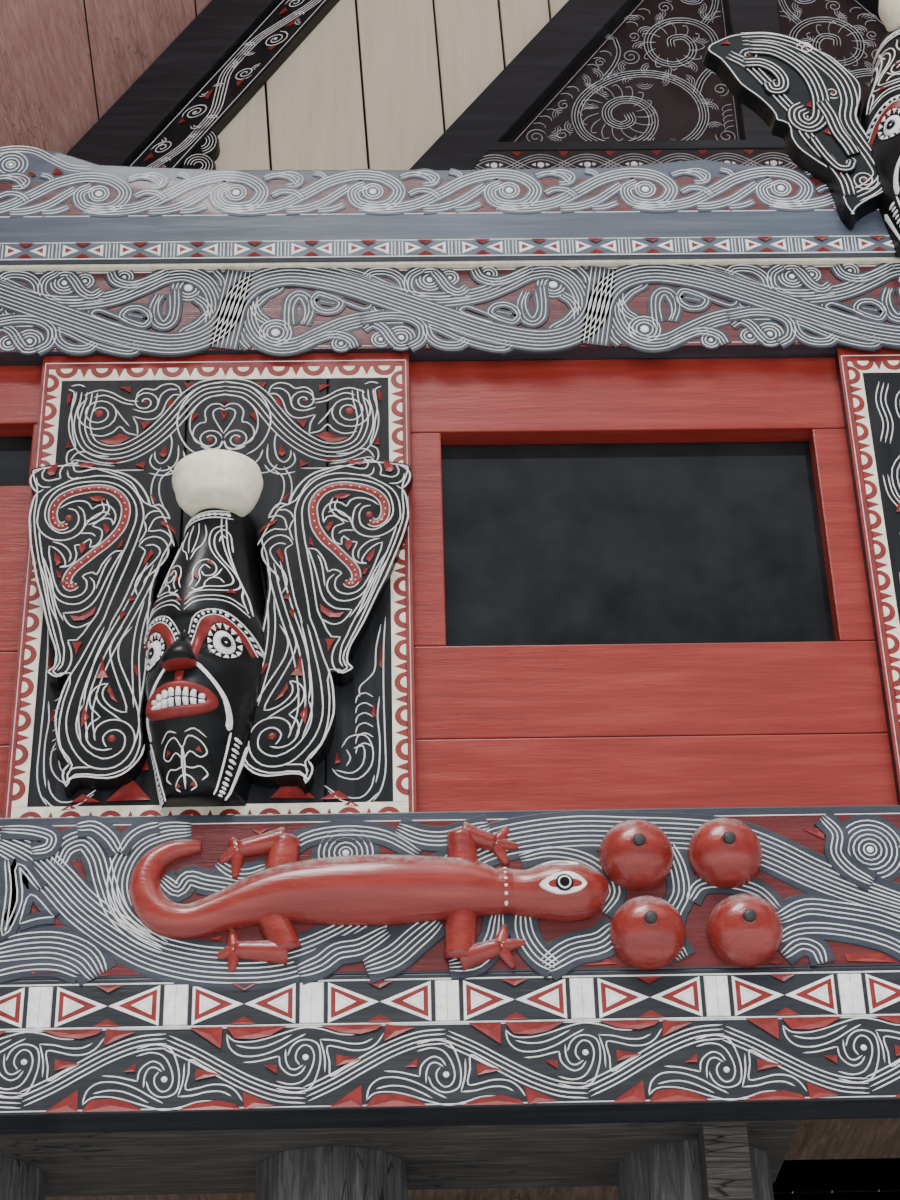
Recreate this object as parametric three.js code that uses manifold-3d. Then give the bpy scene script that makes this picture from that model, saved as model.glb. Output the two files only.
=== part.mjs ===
// A Batak Toba house: log posts carry a low plank body with a carved front, under a tall saddle roof.
// Units are millimetres and +Z is up. The front faces -Y.
// The origin is on the ground under the middle of the house.
import * as THREE from 'three';
import { mergeVertices } from 'three/addons/utils/BufferGeometryUtils.js';
import Module from 'manifold-3d';

const wasm = await Module();
wasm.setup();

// The plan: outer faces of the walls, and the clearance between pieces that touch
const HALF_WIDTH = 2750;
const HALF_LENGTH = 4000;
const GAP = 0.5;
const WALL = 50;
const BOARD_OUT = 60; // how far the sill boards stand out from the walls
const BOARD_BACK = 40; // and how far they reach in behind the wall's face
const BOARD_HALF = HALF_WIDTH + BOARD_OUT;

// Heights, from the ground up
const SILL_LOW = 2030;
const BAND_TOP = 2279; // top of the board with the scrolls and triangles
const SILL_TOP = 2600;
const WALL_TOP = 3700;
const BEAM_TOP = 3916;
const RAIL_LOW = 3925;
const SIDE_PLATE_TOP = 4080;
const LOFT_THICK = 40;
const LOFT_TOP = RAIL_LOW + LOFT_THICK;

// Posts, their stone feet, the ties through them and the beams that lie on them
const POST_X = [590, 1258, 1926, 2560];
const POST_ROW_Y = [-3730, -1243, 1243, 3730];
const POST_R_TOP = 148;
const POST_R_FOOT = 165;
const POST_SIDES = 10;
const STONE_R = 240;
const STONE_H = 140;
const TIE_LOW = 850;
const TIE_HIGH = 1060;
const TIE_HALF = 32;
const TIE_PAST = 190; // how far a tie runs past the middle of its last post
const CROSS_TOP = 2300;
const CROSS_HALF = 130;
const ENTRANCE_HALF = 420;
const PEG = { x: [517, 596], z: [1894, SILL_LOW], y: [-3955, -3895] };
const FLOOR_TOP = 2345;
const HATCH = { x: [-450, 450], y: [-2900, -1700] };

// Windows, in a wall's own plane: the large one of each bay and the slot beside the corner
const WINDOW = { x: [250, 1028], z: [2993, 3511] };
const SLOT = { x: [1880, 2560], z: [3389, 3545] };
const SIDE_WINDOW_Y = [-2500, 0, 2500];
const GLASS = 6;

// Carved panels on the front wall
const PANEL_THICK = 30;
const MASK_PANEL = [1092, 1866];
const CENTRE_PANEL_HALF = 182;

// Roof: ridge and eave lines rise towards both ends, and the slopes are slightly hollow
const EAVE_X = 3750;
const EAVE_END_Y = 5000;
const EAVE_Z = 3000;
const EAVE_RISE = 250;
const RIDGE_X = 60;
const RIDGE_END_Y = 6800;
const RIDGE_Z = 8500;
const RIDGE_RISE = 1900;
const RIDGE_DEPTH = [90, 230]; // how far the ridge beam stands above and below the roof's top edge
const ROOF_SAG = 60;
const ROOF_THICK = 210; // measured straight down
const ROOF_STEPS = 16;
const SLOPE_STEPS = 8;
const BARGE = { out: [5, 75], down: [-60, 300] };

// Gable wall, set back behind the balcony rail
const GABLE_Y = 2750;
const ROOF_CLEAR = 15;
const EDGE_WIDTH = 190;
const EDGE_THICK = 80;
const TRIANGLE = { low: 5230, half: 1118, slope: 1.373, bar: 185, post: 75, band: 110, rule: 35 };
const TRIANGLE_BOARD = 40;
const TRIANGLE_FRAME = 60;

// Masks, lizards and breasts of the carved front
const MASK_X = 1478;
const MASK_FOOT = SILL_TOP + 5;
const HEAD_TURN = THREE.MathUtils.degToRad(15);
const WING_THICK = 42;
const RAIL_MASK_X = 45;
const RAIL_MASK_FOOT = 3885;
const RAIL_OUT = 75;
const BREAST_R = 69;
const NIPPLE_R = 11;
const NIPPLE_OUT = 10;
const BREAST_AT = [[692, 2500], [528, 2501], [681, 2347], [505, 2348]];

const paint = (colour, roughness, metalness = 0) =>
  new THREE.MeshStandardMaterial({ color: colour, roughness, metalness });
const hewnWood = paint(0x4a423a, 0.8);
const blackPaint = paint(0x20242c, 0.5);
const redPaint = paint(0x8f2218, 0.45);
const creamPaint = paint(0xc9bda2, 0.7);
const carved = paint(0x3a3f4a, 0.55);
const plank = paint(0x7a5a43, 0.8);
const thatch = paint(0x2c2723, 0.95);
const pane = paint(0x1c2226, 0.1);
pane.transparent = true;
pane.opacity = 0.5;
const lizardRed = paint(0x9c2a1d, 0.35);

const house = new THREE.Group();

function add(name, geometry, material) {
  const mesh = new THREE.Mesh(geometry, material);
  mesh.name = name;
  house.add(mesh);
  return mesh;
}

// A closed mesh from rings of points: each ring joins the next, and the two end rings are capped.
// A cap is a fan, or for a thin section whose first half faces its second, a strip of quads across it.
function loft(rings, strip = false) {
  const sides = rings[0].length;
  const positions = rings.flat().flatMap((p) => [p.x, p.y, p.z]);
  const faces = [];
  for (let r = 0; r + 1 < rings.length; r += 1) {
    for (let i = 0; i < sides; i += 1) {
      const a = r * sides + i;
      const b = r * sides + ((i + 1) % sides);
      faces.push(a, b, b + sides, a, b + sides, a + sides);
    }
  }
  const last = (rings.length - 1) * sides;
  const cap = strip ? stripFaces(sides) : fanFaces(sides);
  for (const [a, b, c] of cap) faces.push(a, b, c, last + a, last + c, last + b);
  const geometry = new THREE.BufferGeometry();
  geometry.setAttribute('position', new THREE.Float32BufferAttribute(positions, 3));
  geometry.setIndex(faces);
  return facingOut(geometry);
}

function fanFaces(count) {
  return Array.from({ length: count - 2 }, (_, i) => [0, i + 2, i + 1]);
}

function stripFaces(count) {
  return Array.from({ length: count / 2 - 1 }, (_, i) => {
    const [a, b, c, d] = [i, i + 1, count - 2 - i, count - 1 - i];
    return [[b, a, d], [b, d, c]];
  }).flat();
}

// Turns all faces round where they point inwards.
function facingOut(geometry) {
  const p = geometry.attributes.position;
  const index = geometry.index.array;
  const [a, b, c] = [new THREE.Vector3(), new THREE.Vector3(), new THREE.Vector3()];
  let volume = 0;
  for (let i = 0; i < index.length; i += 3) {
    a.fromBufferAttribute(p, index[i]);
    b.fromBufferAttribute(p, index[i + 1]);
    c.fromBufferAttribute(p, index[i + 2]);
    volume += a.dot(b.cross(c));
  }
  if (volume < 0) {
    for (let i = 0; i < index.length; i += 3) [index[i], index[i + 1]] = [index[i + 1], index[i]];
  }
  return geometry;
}

function solid(geometry) {
  const bare = geometry.clone();
  bare.deleteAttribute('normal');
  bare.deleteAttribute('uv');
  const merged = mergeVertices(bare, 1e-3);
  return new wasm.Manifold(new wasm.Mesh({
    numProp: 3,
    vertProperties: new Float32Array(merged.attributes.position.array),
    triVerts: new Uint32Array(merged.index.array),
  }));
}

function shape(manifold) {
  const mesh = manifold.getMesh();
  const geometry = new THREE.BufferGeometry();
  geometry.setAttribute('position', new THREE.Float32BufferAttribute(mesh.vertProperties, 3));
  geometry.setIndex([...mesh.triVerts]);
  return geometry;
}

function box({ x, y, z }) {
  const geometry = new THREE.BoxGeometry(x[1] - x[0], y[1] - y[0], z[1] - z[0]);
  geometry.translate((x[0] + x[1]) / 2, (y[0] + y[1]) / 2, (z[0] + z[1]) / 2);
  return geometry;
}

function joined(geometries) {
  return shape(geometries.map(solid).reduce((whole, piece) => whole.add(piece)));
}

function cut(geometry, holes) {
  return shape(holes.map(solid).reduce((whole, hole) => whole.subtract(hole), solid(geometry)));
}

// An outline in the plane of a front, [x, z] pairs, given a thickness from y0 back to y1.
function upright(outline, y0, y1) {
  const points = outline.map(([x, z]) => new THREE.Vector2(x, z));
  const settings = { depth: y1 - y0, bevelEnabled: false };
  const geometry = new THREE.ExtrudeGeometry(new THREE.Shape(points), settings);
  geometry.rotateX(Math.PI / 2); // the outline's second coordinate becomes z, and its depth -y
  geometry.translate(0, y1, 0);
  return geometry;
}

// A smooth closed outline through [x, z] points.
function rounded(points, steps) {
  const corners = points.map(([x, z]) => new THREE.Vector3(x, z, 0));
  const curve = new THREE.CatmullRomCurve3(corners, true, 'centripetal');
  return curve.getPoints(steps).slice(0, steps).map((p) => [p.x, p.y]);
}

const mirrored = (outline) => outline.map(([x, z]) => [-x, z]).reverse();
const span = (side, [a, b]) => (side < 0 ? [-b, -a] : [a, b]);
const sides = [['left', -1], ['right', 1]];

// Log posts on stones, tied together in rows
function post(x, y) {
  const height = SILL_LOW - GAP - STONE_H / 2;
  const log = new THREE.CylinderGeometry(POST_R_TOP, POST_R_FOOT, height, POST_SIDES);
  log.rotateX(Math.PI / 2);
  log.translate(x, y, STONE_H / 2 + height / 2);
  const stone = new THREE.CylinderGeometry(STONE_R * 0.9, STONE_R, STONE_H, POST_SIDES);
  stone.rotateX(Math.PI / 2);
  stone.translate(x, y, STONE_H / 2);
  return [log, stone];
}

function postRow(name, xs, y) {
  const reach = Math.max(...xs) + TIE_PAST;
  const tie = box({ x: [-reach, reach], y: [y - TIE_HALF, y + TIE_HALF], z: [TIE_LOW, TIE_HIGH] });
  add(name, joined([tie, ...xs.flatMap((x) => post(x, y))]), hewnWood);
}

function makeFrame() {
  const across = [...POST_X.map((x) => -x), ...POST_X];
  for (const [side, sign] of sides) {
    const xs = POST_X.map((x) => sign * x);
    const tie = box({
      x: span(sign, [POST_X[0] - TIE_PAST, POST_X[3] + TIE_PAST]),
      y: [POST_ROW_Y[0] - TIE_HALF, POST_ROW_Y[0] + TIE_HALF],
      z: [TIE_LOW, TIE_HIGH],
    });
    add(`front_posts_${side}`, joined([tie, ...xs.flatMap((x) => post(x, POST_ROW_Y[0]))]), hewnWood);
    const beam = box({
      x: span(sign, [ENTRANCE_HALF, HALF_WIDTH - WALL]),
      y: [-HALF_LENGTH + BOARD_BACK + GAP, POST_ROW_Y[0] + CROSS_HALF],
      z: [SILL_LOW, CROSS_TOP],
    });
    const peg = box({ x: span(sign, PEG.x), y: PEG.y, z: [PEG.z[0], PEG.z[1] + 1] });
    add(`front_beam_${side}`, joined([beam, peg]), hewnWood);
  }
  POST_ROW_Y.slice(1).forEach((y, row) => {
    postRow(`post_row_${row + 2}`, across, y);
    const back = row === 2 ? HALF_LENGTH - BOARD_BACK - GAP : y + CROSS_HALF;
    add(`cross_beam_${row + 2}`, box({
      x: [-HALF_WIDTH + WALL, HALF_WIDTH - WALL], y: [y - CROSS_HALF, back], z: [SILL_LOW, CROSS_TOP],
    }), hewnWood);
  });
}

function makeFloors() {
  const reach = HALF_WIDTH - BOARD_BACK - GAP;
  const floor = box({
    x: [-reach, reach],
    y: [-HALF_LENGTH + BOARD_BACK + GAP, HALF_LENGTH - BOARD_BACK - GAP],
    z: [CROSS_TOP + GAP, FLOOR_TOP],
  });
  const hatch = box({ ...HATCH, z: [CROSS_TOP - 50, FLOOR_TOP + 50] });
  add('floor', cut(floor, [hatch]), plank);
  const inside = HALF_WIDTH - WALL - GAP;
  const loft = { x: [-inside, inside], z: [BEAM_TOP + GAP, BEAM_TOP + LOFT_THICK] };
  const [far, near] = [HALF_LENGTH - WALL - GAP, GABLE_Y - WALL];
  add('balcony_floor', box({ ...loft, y: [-far, -near] }), plank);
  add('back_balcony_floor', box({ ...loft, y: [near, far] }), plank);
}

// Sill boards round the foot of the walls
function makeSills() {
  const front = [-HALF_LENGTH - BOARD_OUT, -HALF_LENGTH + BOARD_BACK];
  const whole = [-BOARD_HALF, BOARD_HALF];
  add('front_scroll_board', box({ x: whole, y: front, z: [SILL_LOW, BAND_TOP - GAP] }), carved);
  const board = box({ x: whole, y: front, z: [BAND_TOP, SILL_TOP] });
  add('front_lizard_board', cut(board, sides.map(([, sign]) => breastSeat(sign, GAP))), carved);
  add('back_sill_board', box({ x: whole, y: [-front[1], -front[0]], z: [SILL_LOW, SILL_TOP] }), carved);
  for (const [side, sign] of sides) {
    add(`${side}_sill_board`, box({
      x: span(sign, [HALF_WIDTH - BOARD_BACK, BOARD_HALF]),
      y: [front[1] + GAP, -front[1] - GAP],
      z: [SILL_LOW, SILL_TOP],
    }), carved);
  }
}

function makeWalls() {
  const z = [SILL_TOP + GAP, WALL_TOP];
  const frontWall = box({ x: [-HALF_WIDTH, HALF_WIDTH], y: [-HALF_LENGTH, -HALF_LENGTH + WALL], z });
  const backWall = box({ x: [-HALF_WIDTH, HALF_WIDTH], y: [HALF_LENGTH - WALL, HALF_LENGTH], z });
  const through = [-HALF_LENGTH - 10, HALF_LENGTH + 10];
  const windows = sides.map(([, sign]) => box({ x: span(sign, WINDOW.x), y: through, z: WINDOW.z }));
  const slots = sides.map(([, sign]) => box({ x: span(sign, SLOT.x), y: through, z: SLOT.z }));
  add('front_wall', cut(frontWall, [...windows, ...slots]), redPaint);
  add('back_wall', cut(backWall, [...windows, ...slots]), redPaint);
  const glassZ = [WINDOW.z[0] - 60, SLOT.z[1] + 60];
  const inner = HALF_LENGTH - WALL - GAP;
  const glassX = [-SLOT.x[1] - 60, SLOT.x[1] + 60];
  add('front_glass', box({ x: glassX, y: [-inner, -inner + GLASS], z: glassZ }), pane);
  add('back_glass', box({ x: glassX, y: [inner - GLASS, inner], z: glassZ }), pane);
  const half = (WINDOW.x[1] - WINDOW.x[0]) / 2;
  for (const [side, sign] of sides) {
    const wall = box({ x: span(sign, [HALF_WIDTH - WALL, HALF_WIDTH]), y: [-inner, inner], z });
    const holes = SIDE_WINDOW_Y.map((y) => box({
      x: span(sign, [HALF_WIDTH - WALL - 10, HALF_WIDTH + 10]), y: [y - half, y + half], z: WINDOW.z,
    }));
    add(`${side}_wall`, cut(wall, holes), redPaint);
    const at = HALF_WIDTH - WALL - GAP;
    const end = SIDE_WINDOW_Y[2] + half + 60;
    add(`${side}_glass`, box({ x: span(sign, [at - GLASS, at]), y: [-end, end], z: glassZ }), pane);
  }
}

function makePanels() {
  const y = [-HALF_LENGTH - PANEL_THICK, -HALF_LENGTH - GAP];
  const z = [SILL_TOP + GAP, WALL_TOP - GAP];
  for (const [side, sign] of sides) {
    add(`mask_panel_${side}`, box({ x: span(sign, MASK_PANEL), y, z }), carved);
  }
  add('centre_panel', box({ x: [-CENTRE_PANEL_HALF, CENTRE_PANEL_HALF], y, z }), carved);
}

// The beams on top of the walls, and the balcony rails above them
function makeUpperBeams() {
  const beam = { x: [-BOARD_HALF, BOARD_HALF], z: [WALL_TOP + GAP, BEAM_TOP] };
  const [back, front] = [HALF_LENGTH - WALL, HALF_LENGTH + 45];
  add('front_upper_beam', box({ ...beam, y: [-front, -back] }), carved);
  add('back_upper_beam', box({ ...beam, y: [back, front] }), carved);
  const half = [
    [0, 4150], [230, 4158], [430, 4198], [640, 4176], [1000, 4172], [1500, 4178], [1770, 4196], [1870, 4238],
    [1990, 4250], [2120, 4212], [2400, 4190], [2660, 4206], [2800, 4262], [2880, 4250], [2880, RAIL_LOW],
  ];
  const outline = [...mirrored(half), ...half];
  add('front_rail_board', upright(outline, -HALF_LENGTH - RAIL_OUT, -HALF_LENGTH + 5), carved);
  add('back_rail_board', upright(outline, HALF_LENGTH - 5, HALF_LENGTH + RAIL_OUT), carved);
  for (const [side, sign] of sides) {
    add(`${side}_plate`, box({
      x: span(sign, [HALF_WIDTH - WALL, BOARD_HALF]),
      y: [-back + GAP, back - GAP],
      z: [WALL_TOP + GAP, SIDE_PLATE_TOP],
    }), blackPaint);
  }
}

// A point of a roof slope's top. along runs from -1 at the front to 1 at the back,
// and up from 0 at the eave to 1 at the ridge.
function roofPoint(sign, along, up) {
  const rise = along * along;
  const eave = new THREE.Vector3(EAVE_X, along * EAVE_END_Y, EAVE_Z + EAVE_RISE * rise);
  const ridge = new THREE.Vector3(RIDGE_X, along * RIDGE_END_Y, RIDGE_Z + RIDGE_RISE * rise);
  const inward = new THREE.Vector3(-(ridge.z - eave.z), 0, -(eave.x - ridge.x)).normalize();
  const p = eave.lerp(ridge, up).addScaledVector(inward, ROOF_SAG * Math.sin(Math.PI * up));
  p.x *= sign;
  return p;
}

// The underside's outline where an upright plane across the house cuts it, from the eave to the ridge.
function undersideAt(y, steps) {
  return Array.from({ length: steps + 1 }, (_, i) => {
    const up = i / steps;
    const along = y / (EAVE_END_Y + (RIDGE_END_Y - EAVE_END_Y) * up);
    const p = roofPoint(1, along, up);
    return [p.x, p.z - ROOF_THICK - ROOF_CLEAR];
  });
}

function roofSlope(sign) {
  const rings = [];
  for (let i = 0; i <= ROOF_STEPS; i += 1) {
    const along = -1 + (2 * i) / ROOF_STEPS;
    const top = Array.from({ length: SLOPE_STEPS + 1 }, (_, j) => roofPoint(sign, along, j / SLOPE_STEPS));
    const under = top.map((p) => new THREE.Vector3(p.x, p.y, p.z - ROOF_THICK)).reverse();
    rings.push([...top, ...under]);
  }
  return loft(rings, true);
}

function makeRoof() {
  const edge = Array.from({ length: SLOPE_STEPS + 1 }, (_, j) => j / SLOPE_STEPS);
  for (const [side, sign] of sides) {
    add(`roof_${side}`, roofSlope(sign), thatch);
    for (const [end, way] of [['front', -1], ['back', 1]]) {
      const rings = edge.map((up) => {
        const p = roofPoint(sign, way, up);
        const [near, far] = BARGE.out.map((out) => p.y + way * out);
        const [high, low] = BARGE.down.map((down) => p.z - down);
        const corners = [[near, high], [far, high], [far, low], [near, low]];
        return corners.map(([y, z]) => new THREE.Vector3(p.x, y, z));
      });
      add(`${end}_barge_board_${side}`, loft(rings), carved);
    }
  }
  const half = RIDGE_X - 5;
  const [above, below] = RIDGE_DEPTH;
  const ridge = [];
  for (let i = 0; i <= ROOF_STEPS; i += 1) {
    const along = -1 + (2 * i) / ROOF_STEPS;
    const p = roofPoint(1, along, 1);
    const y = p.y + along * BARGE.out[1];
    const corners = [[-half, above], [half, above], [half, -below], [-half, -below]];
    ridge.push(corners.map(([x, up]) => new THREE.Vector3(x, y, p.z + up)));
  }
  add('ridge_beam', loft(ridge), thatch);
}

function makeGables() {
  const low = LOFT_TOP + GAP;
  const limit = HALF_WIDTH - WALL - GAP;
  const slope = undersideAt(-GABLE_Y, 24).filter(([x, z]) => x < limit && z > low);
  const tip = slope.pop(); // the top stays below the ridge beam
  const below = slope[slope.length - 1];
  slope.push([THREE.MathUtils.lerp(below[0], tip[0], 0.8), THREE.MathUtils.lerp(below[1], tip[1], 0.8)]);
  const last = slope[slope.length - 1];
  const right = [[limit, low], [limit, slope[0][1] - (limit - slope[0][0]) * 1.5], ...slope, [0, last[1]]];
  const outline = [...right, ...mirrored(right.slice(0, -1))];
  add('front_gable_wall', upright(outline, -GABLE_Y, -GABLE_Y + WALL - GAP), creamPaint);
  add('back_gable_wall', upright(outline, GABLE_Y - WALL + GAP, GABLE_Y), creamPaint);
  const outer = slope.filter(([x]) => x > 150);
  const edge = [...outer, ...outer.map(([x, z]) => [x - EDGE_WIDTH, z]).filter(([x]) => x > 4).reverse()];
  const [front, back] = [-GABLE_Y - EDGE_THICK, -GABLE_Y - GAP];
  add('gable_edge_right', upright(edge, front, back), blackPaint);
  add('gable_edge_left', upright(mirrored(edge), front, back), blackPaint);
}

// The carved triangle in the middle of the front gable: a board behind a black frame with a middle post
function makeTriangle() {
  const { low, half, slope, bar, post: postHalf, band, rule } = TRIANGLE;
  const apex = low + half * slope;
  const outline = [[-half, low], [half, low], [0, apex]];
  const boardFront = -GABLE_Y - TRIANGLE_BOARD;
  add('gable_triangle_board', upright(outline, boardFront, -GABLE_Y - GAP), carved);
  const edgeAt = (z) => (apex - z) / slope - bar;
  const bandLow = low + 25; // the frame's bottom rail is 25 high
  const bandTop = bandLow + band;
  const fieldLow = bandTop + rule;
  const fieldTop = apex - (postHalf + bar) * slope;
  const bandHole = [[-edgeAt(bandLow), bandLow], [edgeAt(bandLow), bandLow], [edgeAt(bandTop), bandTop],
    [-edgeAt(bandTop), bandTop]];
  const field = [[postHalf, fieldLow], [edgeAt(fieldLow), fieldLow], [postHalf, fieldTop]];
  const [front, back] = [boardFront - TRIANGLE_FRAME, boardFront - GAP];
  const holes = [bandHole, field, mirrored(field)].map((hole) => upright(hole, front - 10, back + 10));
  add('gable_triangle_frame', cut(upright(outline, front, back), holes), blackPaint);
}

// A mask: a wedge-shaped head with a wrapped cap, between two ear-like scroll wings.
// A section of it is a height above the foot, a half width, and how far it stands out.
const HEAD_SECTIONS = [
  [0, 78, 118], [55, 84, 140], [125, 96, 168], [170, 104, 190], [225, 112, 184], [275, 118, 200],
  [300, 121, 168], [340, 122, 170], [370, 122, 188], [435, 112, 176], [515, 92, 160], [585, 74, 150],
  [606, 74, 160],
];
const CAP_SECTIONS = [[600, 76, 170], [622, 87, 184], [680, 90, 188], [715, 82, 182], [735, 62, 162]];
const HEAD_X = -17; // the head's middle is beside the middle of its wings
const WING = [
  [-388, 775], [-386, 746], [-379, 725], [-378, 700], [-380, 657], [-370, 585], [-350, 495], [-328, 405],
  [-312, 350], [-307, 322], [-319, 298], [-300, 280], [-285, 284], [-294, 235], [-299, 178], [-292, 130],
  [-270, 95], [-277, 78], [-267, 47], [-247, 65], [-192, 63], [-144, 85], [-123, 135], [-128, 200],
  [-120, 300], [-118, 480], [-97, 560], [-82, 595], [-90, 630], [-114, 680], [-144, 697], [-172, 745],
  [-227, 775], [-292, 792], [-352, 787],
];
const WING_LEAN = { below: 645, by: 0.148 }; // the right wing leans in towards its foot
const RAIL_WING = [
  [-453, 603], [-447, 625], [-420, 644], [-390, 659], [-351, 666], [-303, 666], [-264, 657], [-229, 638],
  [-194, 612], [-164, 592], [-138, 559], [-112, 520], [-103, 494], [-107, 451], [-122, 402], [-103, 338],
  [-81, 285], [-64, 233], [-68, 190], [-99, 164], [-129, 146], [-155, 125], [-170, 101], [-188, 129],
  [-195, 160], [-203, 207], [-212, 233], [-247, 268], [-277, 303], [-290, 338], [-292, 372], [-316, 385],
  [-320, 407], [-347, 451], [-386, 494], [-407, 538], [-425, 572],
];

function headRing([z, half, out], base) {
  const count = 14;
  return Array.from({ length: count }, (_, i) => {
    const angle = Math.PI * (i / (count - 1));
    const point = 0.35 * Math.sin(angle) ** 3; // the face comes to a blunt edge in the middle
    const x = -half * Math.cos(angle) * (1 - 0.25 * point);
    const y = -out * Math.sin(angle) ** 0.8;
    return new THREE.Vector3(x, base + y, z);
  });
}

function maskSolid({ leftWing, rightWing, headX, turn, faceY, foot }) {
  const heads = [HEAD_SECTIONS, CAP_SECTIONS].map((sections) => {
    const part = loft(sections.map((section) => headRing(section, 40)));
    part.rotateZ(-turn);
    return part.translate(headX, 0, 0);
  });
  const outlines = [leftWing, rightWing].map((outline) => rounded(outline, 90));
  const wings = outlines.map((outline) => upright(outline, -WING_THICK, -GAP));
  const front = box({ x: [-500, 500], y: [-600, -GAP], z: [-50, 900] });
  const whole = joined([...heads, ...wings]);
  return shape(solid(whole).intersect(solid(front))).translate(0, faceY, foot);
}

function makeMasks() {
  const lean = (z) => WING_LEAN.by * Math.max(0, WING_LEAN.below - z);
  const mask = maskSolid({
    leftWing: WING,
    rightWing: mirrored(WING).map(([x, z]) => [x - lean(z), z]),
    headX: HEAD_X,
    turn: HEAD_TURN,
    faceY: -HALF_LENGTH - PANEL_THICK,
    foot: MASK_FOOT,
  });
  add('mask_left', mask.clone().translate(-MASK_X, 0, 0), carved);
  add('mask_right', flipped(mask).translate(MASK_X, 0, 0), carved);
  const railMask = maskSolid({
    leftWing: RAIL_WING,
    rightWing: mirrored(RAIL_WING),
    headX: 0,
    turn: 0,
    faceY: -HALF_LENGTH - RAIL_OUT,
    foot: RAIL_MASK_FOOT,
  });
  add('rail_mask', railMask.translate(RAIL_MASK_X, 0, 0), carved);
}

function flipped(geometry) {
  const other = geometry.clone().scale(-1, 1, 1);
  other.setIndex([...other.index.array].reverse());
  return other;
}

// A lizard in half relief: body and tail are one tapering tube, with four bent legs
// Its spine's points are a distance from the house's middle, a height and a radius
const LIZARD_SPINE = [
  [747, 2440, 15], [762, 2438, 35], [778, 2434, 47], [800, 2431, 56], [850, 2431, 57], [897, 2428, 44],
  [935, 2433, 44], [955, 2432, 46], [1000, 2438, 57], [1060, 2439, 62], [1150, 2438, 68], [1250, 2438, 65],
  [1340, 2434, 55], [1400, 2419, 46], [1455, 2400, 37], [1512, 2384, 33], [1554, 2394, 34], [1583, 2428, 31],
  [1590, 2466, 28], [1575, 2503, 24], [1546, 2524, 20], [1512, 2532, 16], [1490, 2533, 11],
];
// Each leg is a hip, a knee and an ankle, and then the tips of three toes
const LIZARD_LEGS = [
  { leg: [[1010, 2470], [1012, 2552], [950, 2530]], toes: [[926, 2562], [907, 2524], [930, 2488]] },
  { leg: [[1015, 2400], [1022, 2302], [948, 2326]], toes: [[938, 2368], [902, 2334], [925, 2286]] },
  { leg: [[1345, 2470], [1334, 2546], [1422, 2526]], toes: [[1436, 2548], [1456, 2501], [1427, 2468]] },
  { leg: [[1362, 2400], [1328, 2322], [1424, 2328]], toes: [[1430, 2368], [1454, 2315], [1428, 2286]] },
];
const LEG_R = [28, 24, 17];
const TOE_R = [15, 6];

function tube(points, count) {
  const rings = points.map(([x, z, radius], i) => {
    const before = points[Math.max(i - 1, 0)];
    const after = points[Math.min(i + 1, points.length - 1)];
    const along = new THREE.Vector2(after[0] - before[0], after[1] - before[1]).normalize();
    return Array.from({ length: count }, (_, k) => {
      const angle = (2 * Math.PI * k) / count;
      const across = radius * Math.cos(angle);
      return new THREE.Vector3(x - along.y * across, -radius * Math.sin(angle), z + along.x * across);
    });
  });
  return loft(rings);
}

function makeLizards() {
  const face = -HALF_LENGTH - BOARD_OUT - GAP;
  const body = tube(LIZARD_SPINE, 12);
  const legs = LIZARD_LEGS.flatMap(({ leg, toes }) => [
    tube(leg.map(([x, z], i) => [x, z, LEG_R[i]]), 8),
    ...toes.map(([x, z]) => tube([[...leg[2], TOE_R[0]], [x, z, TOE_R[1]]], 8)),
  ]);
  const front = box({ x: [600, 1700], y: [-200, 0], z: [2280, 2600] });
  const relief = solid(joined([body, ...legs])).intersect(solid(front));
  const right = shape(relief).translate(0, face, 0);
  add('lizard_right', right, lizardRed);
  add('lizard_left', flipped(right), lizardRed);
}

// Four breasts carved from one block that is let into the board
function breastSeat(sign, grow) {
  const reach = (values) => [Math.min(...values) - 40 - grow, Math.max(...values) + 40 + grow];
  const face = -HALF_LENGTH - BOARD_OUT;
  return box({
    x: span(sign, reach(BREAST_AT.map(([x]) => x))),
    y: [face - 2, face + 20 + grow], // its front runs 2 mm into the domes
    z: reach(BREAST_AT.map(([, z]) => z)),
  });
}

function breast(x, z) {
  const arc = Array.from({ length: 7 }, (_, i) => {
    const angle = (Math.PI / 2) * (i / 7);
    return new THREE.Vector2(BREAST_R * Math.cos(angle), BREAST_R * Math.sin(angle));
  });
  const tip = BREAST_R + NIPPLE_OUT;
  const profile = [new THREE.Vector2(0, 0), ...arc, new THREE.Vector2(NIPPLE_R, BREAST_R - 2),
    new THREE.Vector2(NIPPLE_R * 0.8, tip), new THREE.Vector2(0, tip)];
  const dome = new THREE.LatheGeometry(profile, 16);
  dome.rotateX(Math.PI); // the profile's axis turns from +Y to the front
  dome.translate(x, -HALF_LENGTH - BOARD_OUT - GAP, z);
  return dome;
}

function makeBreasts() {
  for (const [side, sign] of sides) {
    const domes = BREAST_AT.map(([x, z]) => breast(sign * x, z));
    add(`breasts_${side}`, joined([breastSeat(sign, 0), ...domes]), lizardRed);
  }
}

makeFrame();
makeFloors();
makeSills();
makeWalls();
makePanels();
makeUpperBeams();
makeRoof();
makeGables();
makeTriangle();
makeMasks();
makeLizards();
makeBreasts();

export default house;
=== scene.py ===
# A carved wooden house of the Batak kind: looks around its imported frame.
import math
import random

import bpy
import bmesh
from mathutils import Matrix, Vector, noise
from mathutils.geometry import tessellate_polygon


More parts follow.
